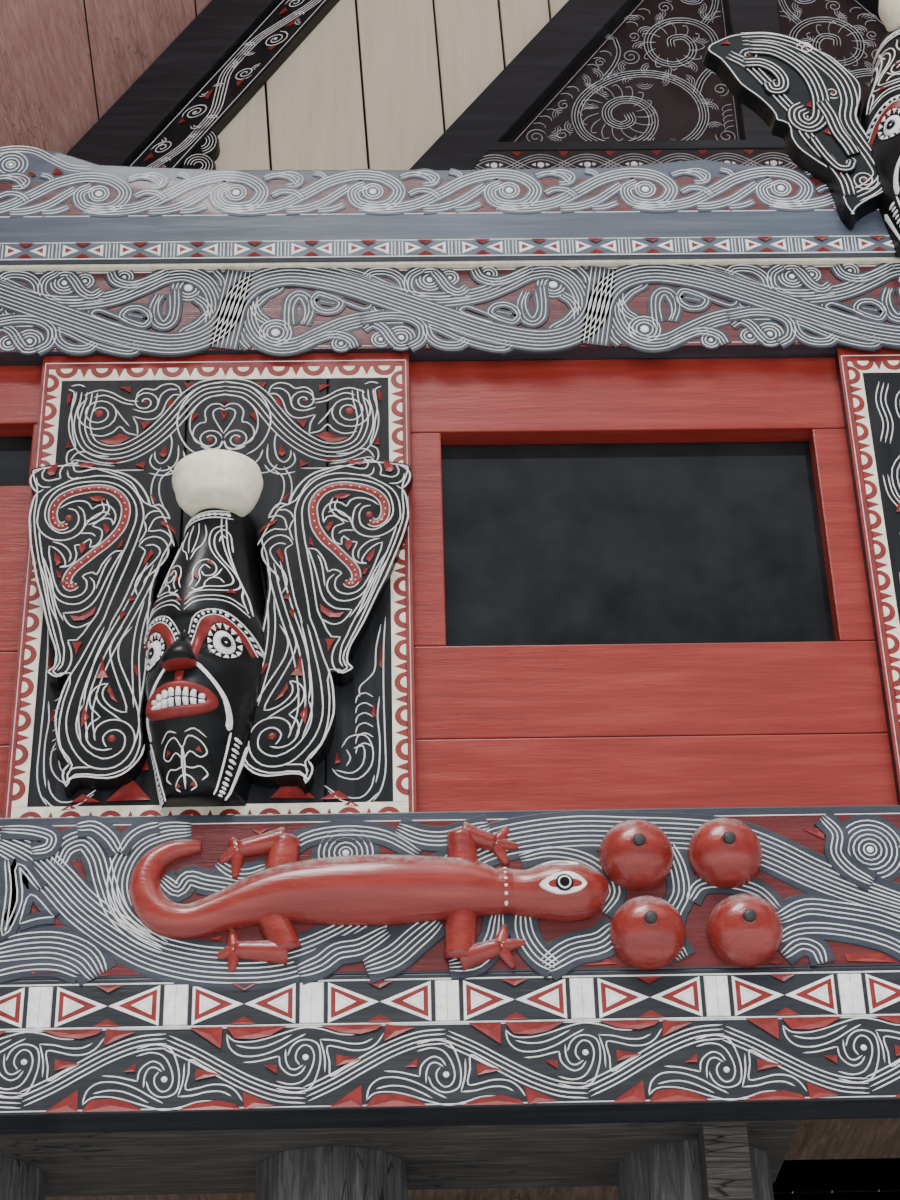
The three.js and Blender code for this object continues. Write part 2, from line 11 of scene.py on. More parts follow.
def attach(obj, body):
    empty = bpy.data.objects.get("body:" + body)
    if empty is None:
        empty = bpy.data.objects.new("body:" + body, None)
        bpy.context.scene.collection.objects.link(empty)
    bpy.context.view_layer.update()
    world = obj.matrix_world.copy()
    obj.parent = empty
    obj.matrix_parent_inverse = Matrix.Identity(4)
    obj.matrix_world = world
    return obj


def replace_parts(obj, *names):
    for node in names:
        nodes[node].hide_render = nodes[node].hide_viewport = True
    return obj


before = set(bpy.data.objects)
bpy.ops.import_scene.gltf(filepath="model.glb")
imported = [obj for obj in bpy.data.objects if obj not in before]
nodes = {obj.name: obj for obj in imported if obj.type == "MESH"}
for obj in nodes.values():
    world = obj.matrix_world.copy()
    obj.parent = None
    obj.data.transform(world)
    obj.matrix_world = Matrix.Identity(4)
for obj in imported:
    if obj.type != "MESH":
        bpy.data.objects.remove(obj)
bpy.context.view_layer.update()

MM = 0.001


# Camera, light and floor

CAMERA_AT = (-1.13, -7.9, 0.683)
CAMERA_RIGHT = (0.9996, -0.014, -0.0233)
CAMERA_FORWARD = (0.0242, 0.8499, 0.5264)
CAMERA_LENS = 69.0
SENSOR = 36.0
SEES_TO = 200.0


def set_camera():
    right = Vector(CAMERA_RIGHT).normalized()
    forward = Vector(CAMERA_FORWARD).normalized()
    up = right.cross(forward).normalized()
    right = forward.cross(up).normalized()
    data = bpy.data.cameras.new("camera")
    data.lens = CAMERA_LENS
    data.sensor_width = SENSOR
    data.clip_end = SEES_TO
    camera = bpy.data.objects.new("camera", data)
    bpy.context.scene.collection.objects.link(camera)
    place = Matrix((right, up, -forward)).transposed().to_4x4()
    place.translation = Vector(CAMERA_AT)
    camera.matrix_world = place
    bpy.context.scene.camera = camera


SKY_STRENGTH = 1.65
SKY_STOPS = [
    # how high in the sky, from 0 below to 1 above, and the colour there
    (0.49, (0.16, 0.16, 0.17, 1)), (0.64, (0.88, 0.94, 1.0, 1)),
]
LAMPS = [
    # name, place, what it points at, size, power, whether it shows in reflections
    ("sky_light", (-4.0, -11.0, 15.0), (0.0, -3.5, 3.0), 6.0, 2600, True),
    ("front_light", (1.0, -14.0, 4.0), (-0.6, -4.0, 3.0), 7.0, 700, False),
]


def set_light():
    world = bpy.data.worlds.new("world")
    bpy.context.scene.world = world
    world.use_nodes = True
    tree = world.node_tree
    background = tree.nodes["Background"]
    background.inputs["Strength"].default_value = SKY_STRENGTH
    coordinates = tree.nodes.new("ShaderNodeTexCoord")
    split = tree.nodes.new("ShaderNodeSeparateXYZ")
    ramp = tree.nodes.new("ShaderNodeValToRGB")
    tree.links.new(coordinates.outputs["Generated"], split.inputs[0])
    tree.links.new(split.outputs["Z"], ramp.inputs["Fac"])
    tree.links.new(ramp.outputs["Color"], background.inputs["Color"])
    for element, (position, colour) in zip(ramp.color_ramp.elements, SKY_STOPS):
        element.position = position
        element.color = colour
    for lamp in LAMPS:
        add_area(*lamp)


def add_area(name, place, target, size, power, reflected):
    light = bpy.data.lights.new(name, "AREA")
    light.energy = power
    light.size = size
    lamp = bpy.data.objects.new(name, light)
    lamp.location = place
    lamp.rotation_euler = (Vector(target) - Vector(place)).to_track_quat("-Z", "Y").to_euler()
    lamp.visible_glossy = reflected
    bpy.context.scene.collection.objects.link(lamp)


FLOOR_HALF = 30.0


def make_floor():
    mesh = bpy.data.meshes.new("floor_stage")
    corners = [(-FLOOR_HALF, -FLOOR_HALF, 0), (FLOOR_HALF, -FLOOR_HALF, 0),
               (FLOOR_HALF, FLOOR_HALF, 0), (-FLOOR_HALF, FLOOR_HALF, 0)]
    mesh.from_pydata(corners, [], [(0, 1, 2, 3)])
    floor = bpy.data.objects.new("floor_stage", mesh)
    bpy.context.scene.collection.objects.link(floor)
    floor.data.materials.append(plain_floor())


# Materials

class Nodes:
    """A small helper that adds shader nodes to one material."""

    def __init__(self, name):
        self.material = bpy.data.materials.new(name)
        self.material.use_nodes = True
        self.tree = self.material.node_tree
        self.shader = self.tree.nodes["Principled BSDF"]
        self.where = self.tree.nodes.new("ShaderNodeTexCoord").outputs["Object"]

    def link(self, source, target):
        self.tree.links.new(source, target)

    def mapping(self, scale):
        node = self.tree.nodes.new("ShaderNodeMapping")
        node.inputs["Scale"].default_value = scale
        self.link(self.where, node.inputs["Vector"])
        return node.outputs["Vector"]

    def noise(self, scale, detail=4.0, rough=0.55, vector=None, distort=0.0):
        node = self.tree.nodes.new("ShaderNodeTexNoise")
        node.inputs["Scale"].default_value = scale
        node.inputs["Detail"].default_value = detail
        node.inputs["Roughness"].default_value = rough
        node.inputs["Distortion"].default_value = distort
        self.link(vector or self.where, node.inputs["Vector"])
        return node.outputs["Fac"]

    def cell_edges(self, scale, vector):
        """The distance to the nearest border of a pattern of cells."""
        node = self.tree.nodes.new("ShaderNodeTexVoronoi")
        node.feature = "DISTANCE_TO_EDGE"
        node.inputs["Scale"].default_value = scale
        self.link(vector, node.inputs["Vector"])
        return node.outputs["Distance"]

    def ramp(self, value, stops):
        node = self.tree.nodes.new("ShaderNodeValToRGB")
        elements = node.color_ramp.elements
        while len(elements) < len(stops):
            elements.new(0.5)
        for element, (position, colour) in zip(elements, stops):
            element.position = position
            element.color = (*colour, 1)
        self.link(value, node.inputs["Fac"])
        return node.outputs["Color"]

    def grey(self, value, low, high, start=0.0, end=1.0):
        """A value that runs from low to high while the given one runs from start to end."""
        node = self.tree.nodes.new("ShaderNodeMapRange")
        node.inputs["From Min"].default_value = start
        node.inputs["From Max"].default_value = end
        node.inputs["To Min"].default_value = low
        node.inputs["To Max"].default_value = high
        self.link(value, node.inputs["Value"])
        return node.outputs["Result"]

    def mix(self, factor, first, second):
        node = self.tree.nodes.new("ShaderNodeMix")
        node.data_type = "RGBA"
        if isinstance(factor, float):
            node.inputs[0].default_value = factor
        else:
            self.link(factor, node.inputs[0])
        for value, socket in ((first, node.inputs[6]), (second, node.inputs[7])):
            if isinstance(value, tuple):
                socket.default_value = (*value, 1)
            else:
                self.link(value, socket)
        return node.outputs[2]

    def maths(self, kind, first, second):
        node = self.tree.nodes.new("ShaderNodeMath")
        node.operation = kind
        for value, socket in ((first, node.inputs[0]), (second, node.inputs[1])):
            if isinstance(value, float):
                socket.default_value = value
            else:
                self.link(value, socket)
        return node.outputs[0]

    def bump(self, height, strength, distance):
        node = self.tree.nodes.new("ShaderNodeBump")
        node.inputs["Strength"].default_value = strength
        node.inputs["Distance"].default_value = distance
        self.link(height, node.inputs["Height"])
        previous = self.shader.inputs["Normal"]
        if previous.is_linked:
            self.link(previous.links[0].from_socket, node.inputs["Normal"])
        self.link(node.outputs["Normal"], previous)

    def set(self, **values):
        names = {"colour": "Base Color", "rough": "Roughness", "coat": "Coat Weight",
                 "specular": "Specular IOR Level", "alpha": "Alpha"}
        for key, value in values.items():
            socket = self.shader.inputs[names[key]]
            if isinstance(value, (float, int)):
                socket.default_value = value
            elif isinstance(value, tuple):
                socket.default_value = (*value, 1)
            else:
                self.link(value, socket)
        return self.material


def plain_floor():
    kit = Nodes("pale_floor")
    tone = kit.noise(0.7, 3)
    colour = kit.ramp(tone, [(0.3, (0.55, 0.55, 0.54)), (0.7, (0.62, 0.62, 0.61))])
    kit.bump(kit.noise(60, 3), 0.1, 0.002)
    return kit.set(colour=colour, rough=0.9)


ALONG_X = (1.2, 14.0, 14.0)
ALONG_Y = (14.0, 1.2, 14.0)
ALONG_Z = (14.0, 14.0, 1.2)


def paint(name, base, dark, light, along=ALONG_X, rough=(0.3, 0.55), coat=0.0, top_pale=0.35,
          top_colour=(0.30, 0.27, 0.24), grain=0.35, shine=0.5):
    """Brushed paint on wood: streaks along the board, patchy gloss, paler patches on upward faces, fine brush
    marks.
    """
    kit = Nodes(name)
    streak = kit.noise(3.0, 6, 0.62, kit.mapping(along))
    fine = kit.noise(16.0, 5, 0.6, kit.mapping(along))
    patch = kit.noise(1.7, 4, 0.5)
    body = kit.ramp(streak, [(0.25, dark), (0.5, base), (0.78, light)])
    body = kit.mix(kit.grey(patch, 0.0, 0.35, 0.4, 0.75), body, dark)
    facing = kit.tree.nodes.new("ShaderNodeNewGeometry")
    split = kit.tree.nodes.new("ShaderNodeSeparateXYZ")
    kit.link(facing.outputs["Normal"], split.inputs[0])
    # Upward faces are mixed towards a paler colour in patches.
    ledge = kit.grey(split.outputs["Z"], 0.0, 1.0, 0.35, 0.9)
    top_specks = kit.grey(kit.noise(38.0, 5, 0.7), 0.0, 1.0, 0.38, 0.62)
    top_mask = kit.maths("MULTIPLY", ledge, kit.maths("MULTIPLY", top_specks, top_pale * 2.0))
    body = kit.mix(top_mask, body, top_colour)
    gloss = kit.grey(kit.maths("ADD", kit.maths("MULTIPLY", patch, 0.5), kit.maths("MULTIPLY", fine, 0.5)),
                     rough[0], rough[1], 0.3, 0.7)
    kit.bump(fine, grain, 0.0012)
    kit.bump(streak, grain * 0.6, 0.004)
    return kit.set(colour=body, rough=gloss, coat=coat, specular=shine)


def wood(name, dark, mid, light, along, crack=0.5, rough=0.78):
    """Bare wood: long grain, drying cracks, grey weathering and worn patches."""
    kit = Nodes(name)
    grain = kit.noise(5.0, 8, 0.65, kit.mapping(along), 0.6)
    fine = kit.noise(28.0, 6, 0.6, kit.mapping(along))
    patch = kit.noise(2.2, 5, 0.55)
    body = kit.ramp(grain, [(0.28, dark), (0.5, mid), (0.72, light)])
    cracks = kit.cell_edges(5.5, kit.mapping(along))
    seam = kit.grey(cracks, 1.0, 0.0, 0.0, 0.05)
    seam = kit.maths("MULTIPLY", seam, kit.grey(kit.noise(3.1, 3), 0.0, crack * 2.0, 0.5, 0.62))
    body = kit.mix(kit.grey(patch, 0.0, 0.5, 0.45, 0.8), body, dark)
    body = kit.mix(seam, body, tuple(part * 0.25 for part in dark))
    body = kit.mix(kit.grey(fine, 0.0, 0.25, 0.55, 0.75), body, light)
    kit.bump(fine, 0.5, 0.002)
    kit.bump(grain, 0.5, 0.006)
    kit.bump(seam, -0.8, 0.006)
    return kit.set(colour=body, rough=kit.grey(patch, rough - 0.12, rough + 0.12, 0.3, 0.7))


def thatch_look():
    kit = Nodes("thatch_look")
    strands = kit.noise(26.0, 7, 0.7, kit.mapping((6.0, 6.0, 1.0)), 0.8)
    clumps = kit.noise(2.6, 5, 0.6)
    body = kit.ramp(strands, [(0.3, (0.012, 0.010, 0.009)), (0.52, (0.045, 0.036, 0.028)),
                              (0.74, (0.13, 0.105, 0.08))])
    body = kit.mix(kit.grey(clumps, 0.0, 0.65, 0.45, 0.8), body, (0.05, 0.06, 0.035))
    kit.bump(strands, 0.9, 0.02)
    kit.bump(clumps, 0.5, 0.05)
    return kit.set(colour=body, rough=0.95)


def pane_look():
    kit = Nodes("pane_look")
    haze = kit.noise(9.0, 5, 0.6)
    body = kit.ramp(haze, [(0.3, (0.006, 0.007, 0.008)), (0.75, (0.020, 0.021, 0.023))])
    kit.bump(kit.noise(1.6, 2), 0.12, 0.01)
    return kit.set(colour=body, rough=kit.grey(haze, 0.03, 0.12, 0.35, 0.8), specular=0.28, alpha=0.96)


def ink(name, base, rough=0.5, vary=0.25, coat=0.0, grime=0.35, shine=0.5):
    """Paint of a carved line or a small form: hand-brushed, a little uneven, grimy in places."""
    kit = Nodes(name)
    tone = kit.noise(55.0, 4, 0.6)
    wide = kit.noise(6.0, 4, 0.55)
    dark = tuple(part * (1 - vary) for part in base)
    light = tuple(min(1.0, part * (1 + vary * 0.5)) for part in base)
    body = kit.ramp(tone, [(0.3, dark), (0.7, light)])
    body = kit.mix(kit.grey(wide, 0.0, grime, 0.45, 0.75), body, tuple(part * 0.45 for part in base))
    kit.bump(tone, 0.25, 0.0012)
    return kit.set(colour=body, rough=kit.grey(wide, rough - 0.1, rough + 0.12, 0.3, 0.7), coat=coat,
                   specular=shine)


BLACK = paint("black_along_x", (0.015, 0.017, 0.022), (0.008, 0.009, 0.012), (0.032, 0.036, 0.044))
SLATE = paint("slate_along_x", (0.028, 0.034, 0.047), (0.016, 0.020, 0.028), (0.055, 0.064, 0.084), coat=0.15)
# A paler copy of the slate paint with more coat, for the rail boards and the rail's vine.
SLATE_PALE = paint("pale_slate_along_x", (0.062, 0.076, 0.104), (0.034, 0.043, 0.062), (0.115, 0.133, 0.168),
                   rough=(0.26, 0.5), coat=0.2)
BLACK_Z = paint("black_along_z", (0.010, 0.011, 0.013), (0.005, 0.006, 0.007), (0.024, 0.026, 0.030), ALONG_Z,
                shine=0.2)
BLACK_Y = paint("black_along_y", (0.014, 0.016, 0.020), (0.007, 0.008, 0.010), (0.030, 0.033, 0.040), ALONG_Y)
RED = paint("red_along_x", (0.240, 0.023, 0.016), (0.165, 0.015, 0.011), (0.33, 0.055, 0.040),
            rough=(0.22, 0.42))
RED_Y = paint("red_along_y", (0.240, 0.023, 0.016), (0.165, 0.015, 0.011), (0.33, 0.055, 0.040), ALONG_Y)
CREAM_BOARD = paint("cream_boards", (0.64, 0.57, 0.44), (0.57, 0.50, 0.39), (0.69, 0.62, 0.50), ALONG_Z,
                    rough=(0.5, 0.75), top_pale=0.2)
BROWN_Y = wood("brown_planks", (0.34, 0.17, 0.145), (0.50, 0.285, 0.25), (0.62, 0.42, 0.38), ALONG_Y, 0.4,
               0.6)
HEWN_Z = wood("hewn_posts", (0.020, 0.020, 0.021), (0.052, 0.052, 0.054), (0.14, 0.14, 0.142), ALONG_Z, 0.9)
HEWN_X = wood("hewn_ties_x", (0.020, 0.018, 0.017), (0.052, 0.046, 0.041), (0.12, 0.108, 0.097), ALONG_X, 0.7)
HEWN_Y = wood("hewn_ties_y", (0.020, 0.018, 0.017), (0.052, 0.046, 0.041), (0.12, 0.108, 0.097), ALONG_Y, 0.7)
PLANK_Y = wood("floor_planks", (0.07, 0.043, 0.027), (0.17, 0.110, 0.072), (0.30, 0.21, 0.145), ALONG_Y, 0.5)
PLANK_X = wood("balcony_planks", (0.07, 0.043, 0.027), (0.17, 0.110, 0.072), (0.30, 0.21, 0.145), ALONG_X,
               0.5)
STONE = wood("foot_stones", (0.10, 0.095, 0.09), (0.20, 0.195, 0.18), (0.33, 0.32, 0.30), (3.0, 3.0, 3.0),
             0.3, 0.9)
THATCH = thatch_look()
PANE = pane_look()
WHITE = ink("white_line", (0.86, 0.86, 0.85), 0.5, 0.22, 0.0, 0.22)
CREAM = ink("cream_ground", (0.82, 0.75, 0.60), 0.55, 0.2, 0.0, 0.2)
RED_CUT = ink("red_cut", (0.22, 0.018, 0.015), 0.45, 0.35)
BLACK_INK = ink("black_carved", (0.007, 0.008, 0.009), 0.3, 0.4, 0.0, 0.35, 0.24)
LIZARD_RED = ink("lizard_paint", (0.27, 0.030, 0.024), 0.22, 0.25, 0.35)
MAROON = ink("dark_maroon", (0.017, 0.008, 0.009), 0.5, 0.4, 0.1, 0.3)
# Grey lines: the gable's white lines are painted this grey as painted shade; the ring in each mask's eye uses
# it too.
GREY_AND_SHADED_WHITE = ink("grey_and_shaded_white_line", (0.58, 0.59, 0.62), 0.55, 0.4)
# Painted shade: the near-black backing seen through the gable's open seams.
SEAM_SHADE = ink("shade_behind_seams", (0.030, 0.022, 0.016), 0.8, 0.4, 0.0)
TURBAN = ink("cream_cap", (0.96, 0.87, 0.70), 0.6, 0.16, 0.0, 0.15)
# Its upward faces turn a patchy pale pinkish grey.
RED_PALE_ABOVE = paint("red_pale_above", (0.245, 0.028, 0.022), (0.17, 0.016, 0.013), (0.34, 0.060, 0.046), ALONG_X,
                  (0.14, 0.34), 0.3, 1.0, (0.33, 0.25, 0.24), 0.5)
DEEP_RED = paint("deep_red", (0.105, 0.014, 0.014), (0.065, 0.008, 0.008), (0.165, 0.030, 0.028), ALONG_X,
                 (0.2, 0.4), 0.3, 1.0, (0.16, 0.09, 0.09), 0.5)
NIPPLE = ink("dark_tip", (0.035, 0.035, 0.038), 0.5, 0.4)


# Curves and outlines, in millimetres

def smooth(points, steps=4, closed=False):
    """Points along a soft curve (centripetal) through the given points."""
    count = len(points)
    if count < 3 and not closed:
        return [tuple(p) for p in points]
    at = [Vector(p) for p in points]

    def pick(index):
        if closed:
            return at[index % count]
        if index < 0:
            return at[0] * 2 - at[1]
        if index >= count:
            return at[-1] * 2 - at[-2]
        return at[index]

    out = []
    spans = count if closed else count - 1
    for index in range(spans):
        p0, p1, p2, p3 = (pick(index + k) for k in (-1, 0, 1, 2))
        t1 = max((p1 - p0).length, 1e-6) ** 0.5
        t2 = t1 + max((p2 - p1).length, 1e-6) ** 0.5
        t3 = t2 + max((p3 - p2).length, 1e-6) ** 0.5
        for step in range(steps):
            t = t1 + (t2 - t1) * step / steps
            a1 = p0 * ((t1 - t) / t1) + p1 * (t / t1)
            a2 = p1 * ((t2 - t) / (t2 - t1)) + p2 * ((t - t1) / (t2 - t1))
            a3 = p2 * ((t3 - t) / (t3 - t2)) + p3 * ((t - t2) / (t3 - t2))
            b1 = a1 * ((t2 - t) / t2) + a2 * (t / t2)
            b2 = a2 * ((t3 - t) / (t3 - t1)) + a3 * ((t - t1) / (t3 - t1))
            out.append(tuple(b1 * ((t2 - t) / (t2 - t1)) + b2 * ((t - t1) / (t2 - t1))))
    if not closed:
        out.append(tuple(at[-1]))
    return out


def line_normals(line):
    """The unit vector to the left of each point of a flat line."""
    out = []
    last = len(line) - 1
    for index in range(len(line)):
        before = line[max(index - 1, 0)]
        after = line[min(index + 1, last)]
        run_u, run_v = after[0] - before[0], after[1] - before[1]
        size = math.hypot(run_u, run_v) or 1.0
        out.append((-run_v / size, run_u / size))
    return out


def shifted(line, distance):
    """A line moved sideways; the distance may change along it."""
    out = []
    last = max(len(line) - 1, 1)
    for index, ((u, v), (nu, nv)) in enumerate(zip(line, line_normals(line))):
        d = distance(index / last) if callable(distance) else distance
        out.append((u + nu * d, v + nv * d))
    return out


def spiral(u, v, start, end, turns, first_angle, points=10):
    """A coil about a point, from the start radius to the end radius. Positive turns run anticlockwise."""
    count = max(int(abs(turns) * points), 3)
    out = []
    for index in range(count + 1):
        part = index / count
        angle = math.radians(first_angle) + turns * math.tau * part
        radius = start + (end - start) * part
        out.append((u + radius * math.cos(angle), v + radius * math.sin(angle)))
    return out


def ellipse(u, v, wide, high, sides=24):
    return [(u + wide * math.cos(math.tau * k / sides), v + high * math.sin(math.tau * k / sides))
            for k in range(sides)]


def arc(u, v, radius, start, step, count):
    """Points along a part of a circle, a step of the angle apart."""
    return [(u + radius * math.cos(start + k * step), v + radius * math.sin(start + k * step))
            for k in range(count)]


def straight(start, end, count):
    """Points at even steps on a straight line."""
    return [(start[0] + (end[0] - start[0]) * k / count, start[1] + (end[1] - start[1]) * k / count)
            for k in range(count + 1)]


# Meshes

def new_piece(name, mesh, *materials):
    piece = bpy.data.objects.new(name, mesh)
    bpy.context.scene.collection.objects.link(piece)
    for material in materials:
        mesh.materials.append(material)
    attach(piece, "root")
    return piece


SINK = 0.4


class Carving:
    """Collects the carved lines and fields of one face, then turns them into one mesh.

    Their feet lie SINK under the face, so that nothing floats.
    """

    def __init__(self, place, flip=False):
        self.place = place
        self.flip = flip
        self.points = []
        self.faces = []
        self.slots = []
        self.materials = []

    def slot_of(self, material):
        if material not in self.materials:
            self.materials.append(material)
        return self.materials.index(material)

    def add(self, points, faces, material, place=None):
        start = len(self.points)
        self.points.extend((place or self.place)(*point) for point in points)
        slot = self.slot_of(material)
        for face in faces:
            turned = reversed(face) if self.flip else face
            self.faces.append(tuple(start + index for index in turned))
            self.slots.append(slot)

    def stroke(self, line, width=4.0, height=1.2, material=WHITE, base=0.0, taper=True):
        """A raised line with a ridge along its middle, narrow at both ends."""
        if len(line) < 2:
            return
        count = len(line)
        points = []
        for index, ((u, v), (nu, nv)) in enumerate(zip(line, line_normals(line))):
            near_end = min(index, count - 1 - index)
            half = width / 2 * (0.35 if taper and near_end == 0 else 1.0)
            points.append((u - nu * half, v - nv * half, base - SINK))
            points.append((u, v, base + height))
            points.append((u + nu * half, v + nv * half, base - SINK))
        faces = []
        for index in range(count - 1):
            a = index * 3
            faces.append((a, a + 3, a + 4, a + 1))
            faces.append((a + 1, a + 4, a + 5, a + 2))
        faces.append((0, 1, 2))
        end = (count - 1) * 3
        faces.append((end, end + 2, end + 1))
        self.add(points, faces, material)

    def stream(self, guide, offsets, steps=4, width=4.0, pinch=0.0, **rest):
        """Several lines that run side by side along one guide, drawn together at its ends."""
        middle = smooth(guide, steps)
        for off in offsets:
            def drawn_in(part):
                return off * (1 - pinch * (abs(part * 2 - 1) ** 4))
            self.stroke(shifted(middle, drawn_in), width, **rest)

    def strap(self, line, width, top, material, base=0.0):
        """A flat raised strap that lets a stream pass over the ones before it."""
        if len(line) < 2:
            return
        normals = line_normals(line)
        rails = []
        for part, lift in ((-1.0, -SINK), (-0.93, top), (0.93, top), (1.0, -SINK)):
            rail = []
            for index, ((u, v), (nu, nv)) in enumerate(zip(line, normals)):
                u, v = u + nu * width / 2 * part, v + nv * width / 2 * part
                if index:
                    (here_u, here_v), (last_u, last_v) = line[index], line[index - 1]
                    ahead_u, ahead_v = here_u - last_u, here_v - last_v
                    if (u - rail[-1][0]) * ahead_u + (v - rail[-1][1]) * ahead_v <= 0:
                        u, v = rail[-1][:2]
                rail.append((u, v, base + lift))
            rails.append(rail)
        points = [point for row in zip(*rails) for point in row]
        faces = []
        for index in range(len(line) - 1):
            a = index * 4
            for side in range(3):
                faces.append((a + side, a + side + 4, a + side + 5, a + side + 1))
        last = len(points) - 4
        faces.append((0, 1, 2, 3))
        faces.append((last + 3, last + 2, last + 1, last))
        self.add(points, faces, material)

    def dot(self, u, v, radius, height=2.0, material=WHITE, base=0.0, sides=10):
        """A low round knob."""
        points = [(u, v, base + height)]
        for ring, (part, lift) in enumerate(((0.6, 0.8), (1.0, 0.0))):
            for side in range(sides):
                angle = side / sides * math.tau
                points.append((u + radius * part * math.cos(angle), v + radius * part * math.sin(angle),
                               base + height * lift - (SINK if ring else 0)))
        faces = []
        for side in range(sides):
            after = (side + 1) % sides
            faces.append((0, 1 + side, 1 + after))
            faces.append((1 + side, 1 + sides + side, 1 + sides + after, 1 + after))
        self.add(points, faces, material)

    def field(self, outline, thick=2.0, material=RED_CUT, base=0.0, bevel=1.0):
        """A flat raised field with bevelled sides."""
        if area_of(outline) < 0:
            outline = outline[::-1]
        count = len(outline)
        inner = inset(outline, bevel)
        points = [(u, v, base - SINK) for u, v in outline] + [(u, v, base + thick) for u, v in inner]
        faces = []
        for index in range(count):
            after = (index + 1) % count
            faces.append((index, after, count + after, count + index))
        for triangle in tessellate_polygon([[Vector((u, v, 0)) for u, v in inner]]):
            a, b, c = triangle
            if area_of([inner[a], inner[b], inner[c]]) < 0:
                a, c = c, a
            faces.append((count + a, count + b, count + c))
        self.add(points, faces, material)

    def hollow(self, outline, deep=2.6, rim=2.8, material=RED_CUT, base=0.0):
        """A pressed-in look: a low rim around a centre that falls away, like a chip cut out of the board."""
        if area_of(outline) < 0:
            outline = outline[::-1]
        count = len(outline)
        middle_u = sum(u for u, _ in outline) / count
        middle_v = sum(v for _, v in outline) / count
        points = [(u, v, base + rim) for u, v in outline] + [(middle_u, middle_v, base + rim - deep)]
        faces = [(index, (index + 1) % count, count) for index in range(count)]
        self.add(points, faces, material)

    def piece(self, name, smooth_faces=False):
        mesh = bpy.data.meshes.new(name)
        mesh.from_pydata([tuple(part * MM for part in point) for point in self.points], [], self.faces)
        mesh.update()
        mesh.polygons.foreach_set("material_index", self.slots)
        if smooth_faces:
            mesh.polygons.foreach_set("use_smooth", [True] * len(self.faces))
        return new_piece(name, mesh, *self.materials)


def area_of(outline):
    """The area of an outline, negative where it runs clockwise."""
    total = 0.0
    for index, (u, v) in enumerate(outline):
        after_u, after_v = outline[(index + 1) % len(outline)]
        total += u * after_v - after_u * v
    return total / 2


def inset(outline, distance):
    """The outline drawn in by a distance along each corner's middle line."""
    out = []
    count = len(outline)
    for index in range(count):
        before = Vector(outline[index - 1])
        here = Vector(outline[index])
        after = Vector(outline[(index + 1) % count])
        first = (here - before).normalized() if (here - before).length > 0 else Vector((1, 0))
        second = (after - here).normalized() if (after - here).length > 0 else first
        normal = Vector((-first.y - second.y, first.x + second.x))
        if normal.length < 1e-6:
            normal = Vector((-first.y, first.x))
        normal.normalize()
        lean = max(normal.dot(Vector((-first.y, first.x))), 0.5)
        moved = here + normal * (distance / lean)
        out.append((moved.x, moved.y))
    return out


def ring_faces(rings, around, turned=False, capped=True):
    """The faces between closed rings of points, each ring joined to the next, and a cap at either end."""
    faces = []
    for ring in range(rings - 1):
        a = ring * around
        for k in range(around):
            after = (k + 1) % around
            corners = (a + k, a + after, a + around + after, a + around + k)
            faces.append(corners[:1] + corners[:0:-1] if turned else corners)
    if capped:
        first = tuple(range(around))
        last = tuple((rings - 1) * around + k for k in range(around))
        faces += [first, last[::-1]] if turned else [first[::-1], last]
    return faces


EASED_ABOVE = math.radians(40)


def smoothed_copy(node, name, width, material):
    """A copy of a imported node's mesh with its hard edges eased, which stands for that node."""
    source = nodes[node]
    mesh = source.data.copy()
    mesh.name = name
    mesh.materials.clear()
    work = bmesh.new()
    work.from_mesh(mesh)
    bmesh.ops.remove_doubles(work, verts=work.verts, dist=1e-5)
    bmesh.ops.dissolve_limit(work, angle_limit=0.01, verts=work.verts, edges=work.edges)
    sharp = [edge for edge in work.edges
             if len(edge.link_faces) == 2 and edge.calc_face_angle(0) > EASED_ABOVE]
    if sharp:
        bmesh.ops.bevel(work, geom=sharp, offset=width, segments=2, profile=0.6,
                        affect="EDGES", clamp_overlap=True)
    work.to_mesh(mesh)
    work.free()
    for polygon in mesh.polygons:
        polygon.use_smooth = False
    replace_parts(new_piece(name, mesh, material), node)


# The body of the house: posts, beams, floors and walls

def dress_boards():
    eased = [
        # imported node, piece, how wide the eased edge is in metres, material
        ("front_beam_left", "front_beam_left_bevelled", 0.012, HEWN_X),
        ("front_beam_right", "front_beam_right_bevelled", 0.012, HEWN_X),
        ("cross_beam_2", "cross_beam_2_bevelled", 0.012, HEWN_X),
        ("cross_beam_3", "cross_beam_3_bevelled", 0.012, HEWN_X),
        ("cross_beam_4", "cross_beam_4_bevelled", 0.012, HEWN_X),
        ("floor", "floor_planks", 0.004, PLANK_Y),
        ("balcony_floor", "balcony_planks", 0.004, PLANK_X),
        ("back_balcony_floor", "back_balcony_planks", 0.004, PLANK_X),
        ("front_scroll_board", "front_scroll_plank", 0.003, BLACK),
        ("front_lizard_board", "front_lizard_plank", 0.003, SLATE),
        ("back_sill_board", "back_sill_plank", 0.004, BLACK),
        ("left_sill_board", "left_sill_plank", 0.004, BLACK_Y),
        ("right_sill_board", "right_sill_plank", 0.004, BLACK_Y),
        ("front_upper_beam", "front_upper_plank", 0.003, SLATE),
        ("back_upper_beam", "back_upper_plank", 0.004, SLATE),
        ("front_rail_board", "front_rail_plank", 0.003, SLATE_PALE),
        ("back_rail_board", "back_rail_plank", 0.004, SLATE_PALE),
        ("left_plate", "left_plate_bevelled", 0.006, HEWN_Y),
        ("right_plate", "right_plate_bevelled", 0.006, HEWN_Y),
        ("gable_edge_left", "gable_edge_left_bevelled", 0.003, BLACK),
        ("gable_edge_right", "gable_edge_right_bevelled", 0.003, BLACK),
        ("gable_triangle_board", "gable_triangle_plank", 0.002, BLACK),
        ("gable_triangle_frame", "gable_triangle_bars", 0.004, BLACK),
    ]
    for board in eased:
        smoothed_copy(*board)


